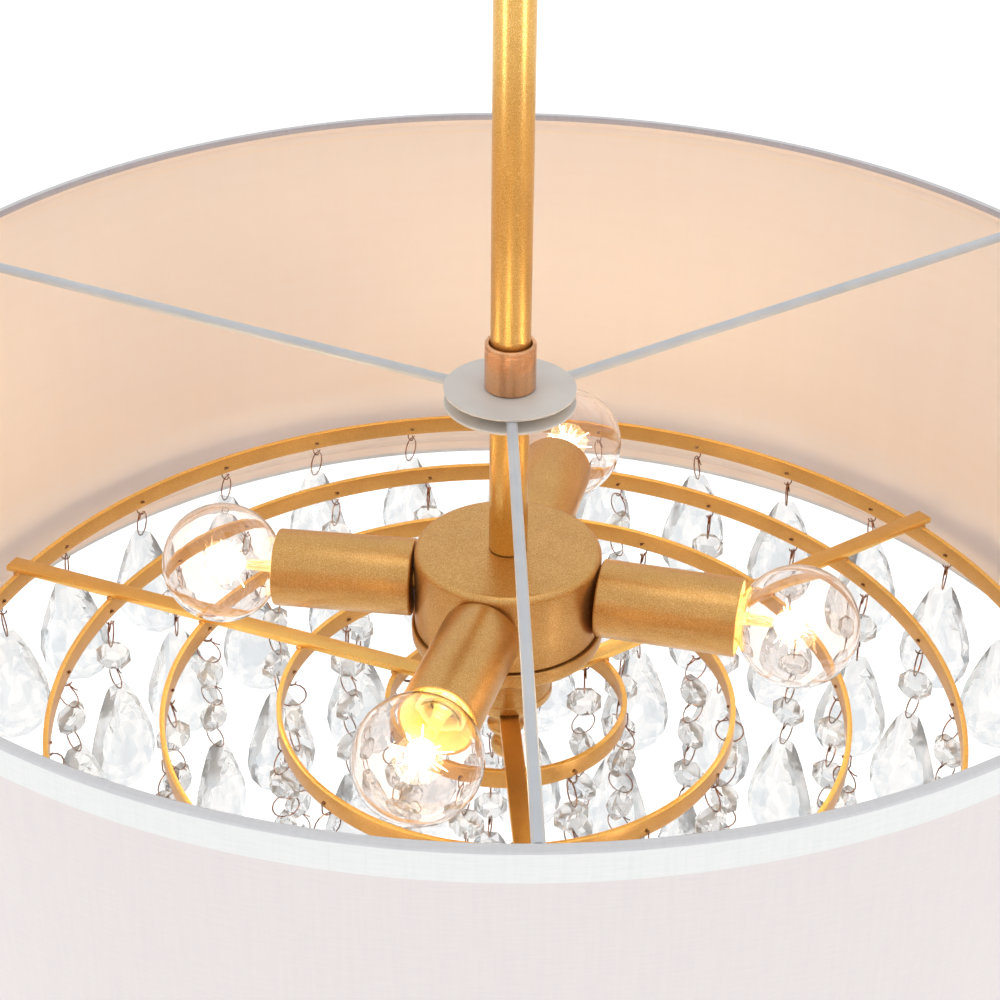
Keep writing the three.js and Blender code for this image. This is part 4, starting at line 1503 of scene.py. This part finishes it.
@dataclass
class CrystalStrands:
    """Wire hooks and rings, octagon beads and pear pendants, strand by strand."""

    wire: float = 0.6 * MM
    hook_reach: float = 6.1 * MM
    hook_off_band: float = 0.7 * MM
    hook_corner: float = 0.8 * MM
    knuckle_radius: float = 0.75 * MM
    knuckle_inset: float = 0.2 * MM
    ring_tail: float = 2.6 * MM
    link_reach: float = 10.6 * MM
    bead_height: float = 14 * MM
    bead_thickness: float = 8 * MM
    pendant_height: float = 50 * MM
    pendant_thickness: float = 10 * MM
    hole_inset: float = 1.5 * MM
    seed: int = 11
    rng: random.Random = field(init=False)

    def __post_init__(self) -> None:
        """Starts the strands' own random order."""
        self.rng = random.Random(self.seed)

    def pin(self, reach_down: float, seam: float) -> bmesh.types.BMesh:
        """A wire ring whose two ends cross and flare out.

        Args:
            reach_down: the ring's height between its wire's middles.
            seam: where the ends cross, in degrees from the ring's lowest point.

        Returns:
            The ring, hanging from the origin in the plane of X and Z.
        """
        radius = reach_down / 2
        tail = self.ring_tail
        flare = 55
        under = -reach_down - tail
        lean = math.radians(90 - flare)
        start = (tail * math.cos(lean), -self.wire / 2, under + tail * math.sin(lean))
        ring = bent_wire(start, 180 - flare, self.wire / 2, 4, [
            Bend((0, under), flare, 2), Bend((0, -radius), -360, 16, drift=self.wire),
            Bend((0, under), flare, 2)])
        return moved(ring, shift(z=radius), turn(-math.radians(seam), "Y"), shift(z=-radius))

    def hook(self) -> bmesh.types.BMesh:
        """A hook: a knuckle on the band's inner face, a bend over the outer one and an open loop below."""
        half = HoopRack.band_thickness / 2 + self.hook_off_band
        corner = self.hook_corner
        # A straight stretch is an arc whose centre is this far away
        far = 2.0
        through = 2 * half - corner
        drop = self.hook_reach + self.wire / 2 - half - corner
        wire = bent_wire((-half, 0, 0), 0, self.wire / 2, 5, [
            Bend((-half, -far), -math.degrees(through / far), 1), Bend((half - corner, -corner), -90, 4),
            Bend((half - far, -corner), -math.degrees(drop / far), 1), Bend((0, -corner - drop), -175, 8)])
        knuckle = bmesh.new()
        bmesh.ops.create_icosphere(knuckle, subdivisions=1, radius=self.knuckle_radius,
                                   matrix=shift(-half + self.knuckle_inset))
        return merged(wire, knuckle)

    def gem(self, outline: Sequence[Vector], middle: Vector, thickness: float,
            rings: Sequence[tuple[float, float]]) -> bmesh.types.BMesh:
        """A cut crystal: rings of facets that step round by half a facet, then a table.

        Args:
            outline: the girdle's points in the plane of Y and Z.
            middle: what the rings shrink towards.
            thickness: the whole thickness.
            rings: each ring's size as a share of the girdle's, and its rise as a share of the half.

        Returns:
            The crystal, the same on both faces.
        """
        bm = bmesh.new()
        count = len(outline)
        circle = bmesh.ops.create_circle(bm, segments=count, radius=1 * MM)["verts"]
        for vert, place in zip(circle, outline):
            vert.co = place
        edges = list(bm.edges)
        under = list(outline)
        for share, rise in rings:
            grown = bmesh.ops.extrude_edge_only(bm, edges=edges)["geom"]
            verts = [g for g in grown if isinstance(g, bmesh.types.BMVert)]
            edges = [g for g in grown if isinstance(g, bmesh.types.BMEdge) and set(g.verts) <= set(verts)]
            over = [middle.lerp((a + b) / 2, share) for a, b in zip(under, under[1:] + under[:1])]
            for vert in verts:
                near = min(range(count), key=lambda i: (under[i].yz - vert.co.yz).length)
                thin = min(1.0, 0.4 + 0.6 * over[near].z / (0.75 * middle.z))
                vert.co = over[near] + Vector((thin * rise * thickness / 2, 0, 0))
            under = over
        bmesh.ops.triangulate(bm, faces=list(bm.faces), quad_method="SHORT_EDGE")
        bmesh.ops.holes_fill(bm, edges=edges, sides=0)
        geom = list(bm.verts) + list(bm.edges) + list(bm.faces)
        bmesh.ops.mirror(bm, geom=geom, merge_dist=MERGE, axis="X")
        bmesh.ops.recalc_face_normals(bm, faces=bm.faces)
        return bm

    def bead(self) -> bmesh.types.BMesh:
        """An octagon bead, hanging from the origin."""
        half = self.bead_height / 2
        corner = half / math.cos(math.pi / 8)
        angles = [math.pi / 8 + i * math.pi / 4 for i in range(8)]
        outline = [Vector((0, corner * math.cos(a), corner * math.sin(a) - half)) for a in angles]
        return self.gem(outline, Vector((0, 0, -half)), self.bead_thickness, [(0.62, 1.0)])

    def pendant(self) -> bmesh.types.BMesh:
        """A pear pendant with a blunt neck, hanging from the origin."""
        right = [Vector((0, width * MM, -drop * MM)) for width, drop in PEAR]
        outline = right + [point * Vector((0, -1, 1)) for point in reversed(right)]
        middle = Vector((0, 0, -0.6 * self.pendant_height))
        rings = [(0.86, 0.42), (0.8, 0.72), (0.72, 0.92), (0.55, 1.0)]
        return self.gem(outline, middle, self.pendant_thickness, rings)

    @staticmethod
    def shown(angle: float) -> float:
        """The share of a pendant's width that the photograph shows when its face points at an angle."""
        return abs(math.sin(angle))

    def strand(self, plan: HoopPlan, number: int) -> dict[str, list[Matrix]]:
        """Where the parts of one strand go.

        Args:
            plan: the hoop.
            number: the strand's number from 0.

        Returns:
            Matrices by the kind of part.
        """
        row = top("hoop_inner") - HoopRack.hole_drop
        base = turn(plan.azimuth(number)) @ shift(plan.radius - HoopRack.band_thickness / 2, 0, row)
        twist = self.rng.choice((-1, 1)) * self.rng.uniform(0.55, 1.1) * plan.twist
        twist = max((twist, -twist), key=lambda t: self.shown(plan.azimuth(number) + math.radians(t)))
        places: dict[str, list[Matrix]] = {"hook": [], "link": [], "bead": [], "pendant": []}
        lean = -math.copysign(self.rng.uniform(24, 38), twist)
        places["hook"].append(base @ turn(math.radians(lean)))
        height = -self.hook_reach
        for i in range(plan.beads + 1):
            angle = math.radians(twist + self.rng.uniform(-10, 10))
            if i < plan.beads:
                angle += math.radians(self.rng.uniform(-30, 30))
            stretch = (self.link_reach + self.wire / 2) / self.link_reach if i == 0 else 1.0
            lift = self.link_reach * (stretch - 1)
            side = turn(math.pi) if self.rng.random() < 0.5 else Matrix.Identity(4)
            longer = Matrix.Scale(stretch, 4)
            places["link"].append(base @ shift(z=height + lift) @ turn(angle) @ side @ longer)
            height -= self.link_reach
            kind = "bead" if i < plan.beads else "pendant"
            long = Matrix.Scale(1.0 if i < plan.beads else plan.pendant_stretch, 4, (0, 0, 1))
            places[kind].append(base @ shift(z=height + self.hole_inset) @ turn(angle) @ long)
            height -= self.bead_height - 2 * self.hole_inset
        return places

    def kinds(self) -> dict[str, bmesh.types.BMesh]:
        """A fresh set of the parts' shapes."""
        return {
            "hook": self.hook(), "link": self.pin(self.link_reach, 150),
            "bead": self.bead(), "pendant": self.pendant()}

    def hang(self, strands: Sequence[dict[str, list[Matrix]]], name: str, body: str, node: str) -> None:
        """Makes the wires and the crystals of some strands.

        Args:
            strands: where their parts go.
            name: the end of the pieces' names.
            body: the body that they ride on.
            node: the CAD node that they stand for.
        """
        shapes = self.kinds()
        made = {kind: copies(shapes[kind], [m for s in strands for m in s[kind]]) for kind in shapes}
        wires = merged(made["hook"], made["link"])
        piece(wires, f"wires_{name}", COPPER_WIRE, body, [node], crease=80)
        crystals = merged(made["pendant"], made["bead"])
        piece(crystals, f"crystals_{name}", CRYSTAL, body, [node], crease=0)

    def build(self) -> None:
        """Hangs the fixed strands of the four outer hoops and the seven that swing."""
        *fixed, swinging = HOOPS
        for plan in fixed:
            strands = [self.strand(plan, i) for i in range(plan.strands)]
            self.hang(strands, plan.name, Body.FIXTURE, f"hoop_{plan.name}")
        for i in range(swinging.strands):
            strand = self.strand(swinging, i)
            self.hang([strand], f"inner_{i + 1}", f"strand_{i + 1}", f"crystal_strand_{i + 1}")


# Studio

@dataclass
class Studio:
    """Camera, white surroundings, softboxes and a pale floor."""

    lens: float = 76.8
    shift_x: float = -0.0045
    stand: tuple[float, float, float] = (-0.00369, -0.65813, -0.00628)
    right: tuple[float, float, float] = (0.99994, 0.00293, 0.01011)
    up: tuple[float, float, float] = (-0.01014, 0.52528, 0.85087)
    back: tuple[float, float, float] = (-0.00281, -0.85092, 0.52529)
    aim: tuple[float, float, float] = (0, 0, -0.45)
    ambient: float = 0.74
    floor_drop: float = 0.45
    floor_half: float = 6.0
    floor_glow: float = 0.55

    def camera(self) -> None:
        """Sets the camera where the photograph was taken."""
        view = bpy.data.cameras.new("photo_camera")
        view.lens = self.lens
        view.sensor_width = 36
        view.shift_x = self.shift_x
        view.clip_start = 0.01
        stand = bpy.data.objects.new("photo_camera", view)
        axes = Matrix((self.right, self.up, self.back)).transposed().to_4x4()
        stand.matrix_world = shift(*self.stand) @ axes
        bpy.context.scene.collection.objects.link(stand)
        bpy.context.scene.camera = stand

    def seen_rays(self, tree: bpy.types.NodeTree) -> bpy.types.NodeSocket:
        """1 for camera, glossy and transmission rays, which see the white surroundings."""
        path = add_node(tree, "ShaderNodeLightPath")
        first = add_node(tree, "ShaderNodeMath", {
            0: path.outputs["Is Camera Ray"], 1: path.outputs["Is Glossy Ray"]}, operation="MAXIMUM")
        both = add_node(tree, "ShaderNodeMath", {
            0: first.outputs[0], 1: path.outputs["Is Transmission Ray"]}, operation="MAXIMUM")
        return both.outputs[0]

    def surroundings(self) -> None:
        """White where it is seen, plain soft light where it shines."""
        world = bpy.data.worlds.new("studio")
        world.use_nodes = True
        tree = world.node_tree
        shine = tree.nodes["Background"]
        feed(tree, shine, {"Color": WHITE, "Strength": self.ambient})
        seen = add_node(tree, "ShaderNodeBackground", {"Color": WHITE, "Strength": 1.0})
        mix = add_node(tree, "ShaderNodeMixShader", {
            0: self.seen_rays(tree), 1: shine.outputs[0], 2: seen.outputs[0]})
        feed(tree, tree.nodes["World Output"], {"Surface": mix.outputs[0]})
        bpy.context.scene.world = world

    def floor(self) -> None:
        """A pale floor under the crystals, which keeps the shadow."""
        bm = bmesh.new()
        bmesh.ops.create_grid(bm, x_segments=1, y_segments=1, size=self.floor_half,
                              matrix=shift(z=CAD_BOX[0][2] - self.floor_drop))
        mesh = bpy.data.meshes.new("studio_floor")
        bm.to_mesh(mesh)
        bm.free()
        ground = bpy.data.objects.new("studio_floor", mesh)
        material, tree, shader = blank_material("studio_floor")
        speckle = spread(tree, 60 * MM, Detail=2.0)
        tone = add_node(tree, "ShaderNodeValToRGB", {"Fac": speckle},
                        stops=((0.3, linear("#EFEFEF")), (0.7, linear("#F3F3F3"))))
        glow = add_node(tree, "ShaderNodeMath", {0: self.seen_rays(tree), 1: self.floor_glow},
                        operation="MULTIPLY")
        feed(tree, shader, {
            "Base Color": tone.outputs["Color"], "Roughness": 0.9, "Specular IOR Level": 0.0,
            "Emission Color": WHITE, "Emission Strength": glow.outputs[0]})
        mesh.materials.append(material)
        bpy.context.scene.collection.objects.link(ground)

    def softbox(self, name: str, place: Vector, size: tuple[float, float], watts: float) -> None:
        """One softbox that faces the lamp cluster.

        Args:
            name: the light's name.
            place: where it stands.
            size: its width and height.
            watts: its power.
        """
        light = bpy.data.lights.new(name, "AREA")
        light.shape = "RECTANGLE"
        light.size, light.size_y = size
        light.energy = watts
        stand = bpy.data.objects.new(name, light)
        facing = Vector(self.aim) - place
        stand.matrix_world = shift(*place) @ facing.to_track_quat("-Z", "Y").to_matrix().to_4x4()
        hide_from_view(stand)
        bpy.context.scene.collection.objects.link(stand)

    def build(self) -> None:
        """Builds the whole studio."""
        self.camera()
        self.surroundings()
        self.floor()
        self.softbox("softbox_left", Vector((-1.15, -0.85, -0.9)), (0.36, 1.0), 6)
        self.softbox("softbox_right", Vector((1.15, -0.85, -0.9)), (0.36, 1.0), 6)
        self.softbox("softbox_top", Vector((0.1, -0.3, 1.6)), (1.2, 1.2), 4)
        bpy.context.scene.view_settings.view_transform = "Standard"


def main() -> None:
    """Builds the chandelier and its studio."""
    logging.basicConfig(level=logging.INFO, format="%(name)s %(message)s")
    Studio().build()
    CeilingFitting().build()
    Swivel().build()
    Rods().build()
    Spider().build()
    DrumShade().build()
    LampHousing().build()
    for number in range(1, LAMPS + 1):
        cup = f"socket_cup_{number}"
        LampArm(number, (top(cup) + bottom(cup)) / 2, azimuth(cup)).build()
    HoopRack().build()
    CrystalStrands().build()


if __name__ == "__main__":
    main()
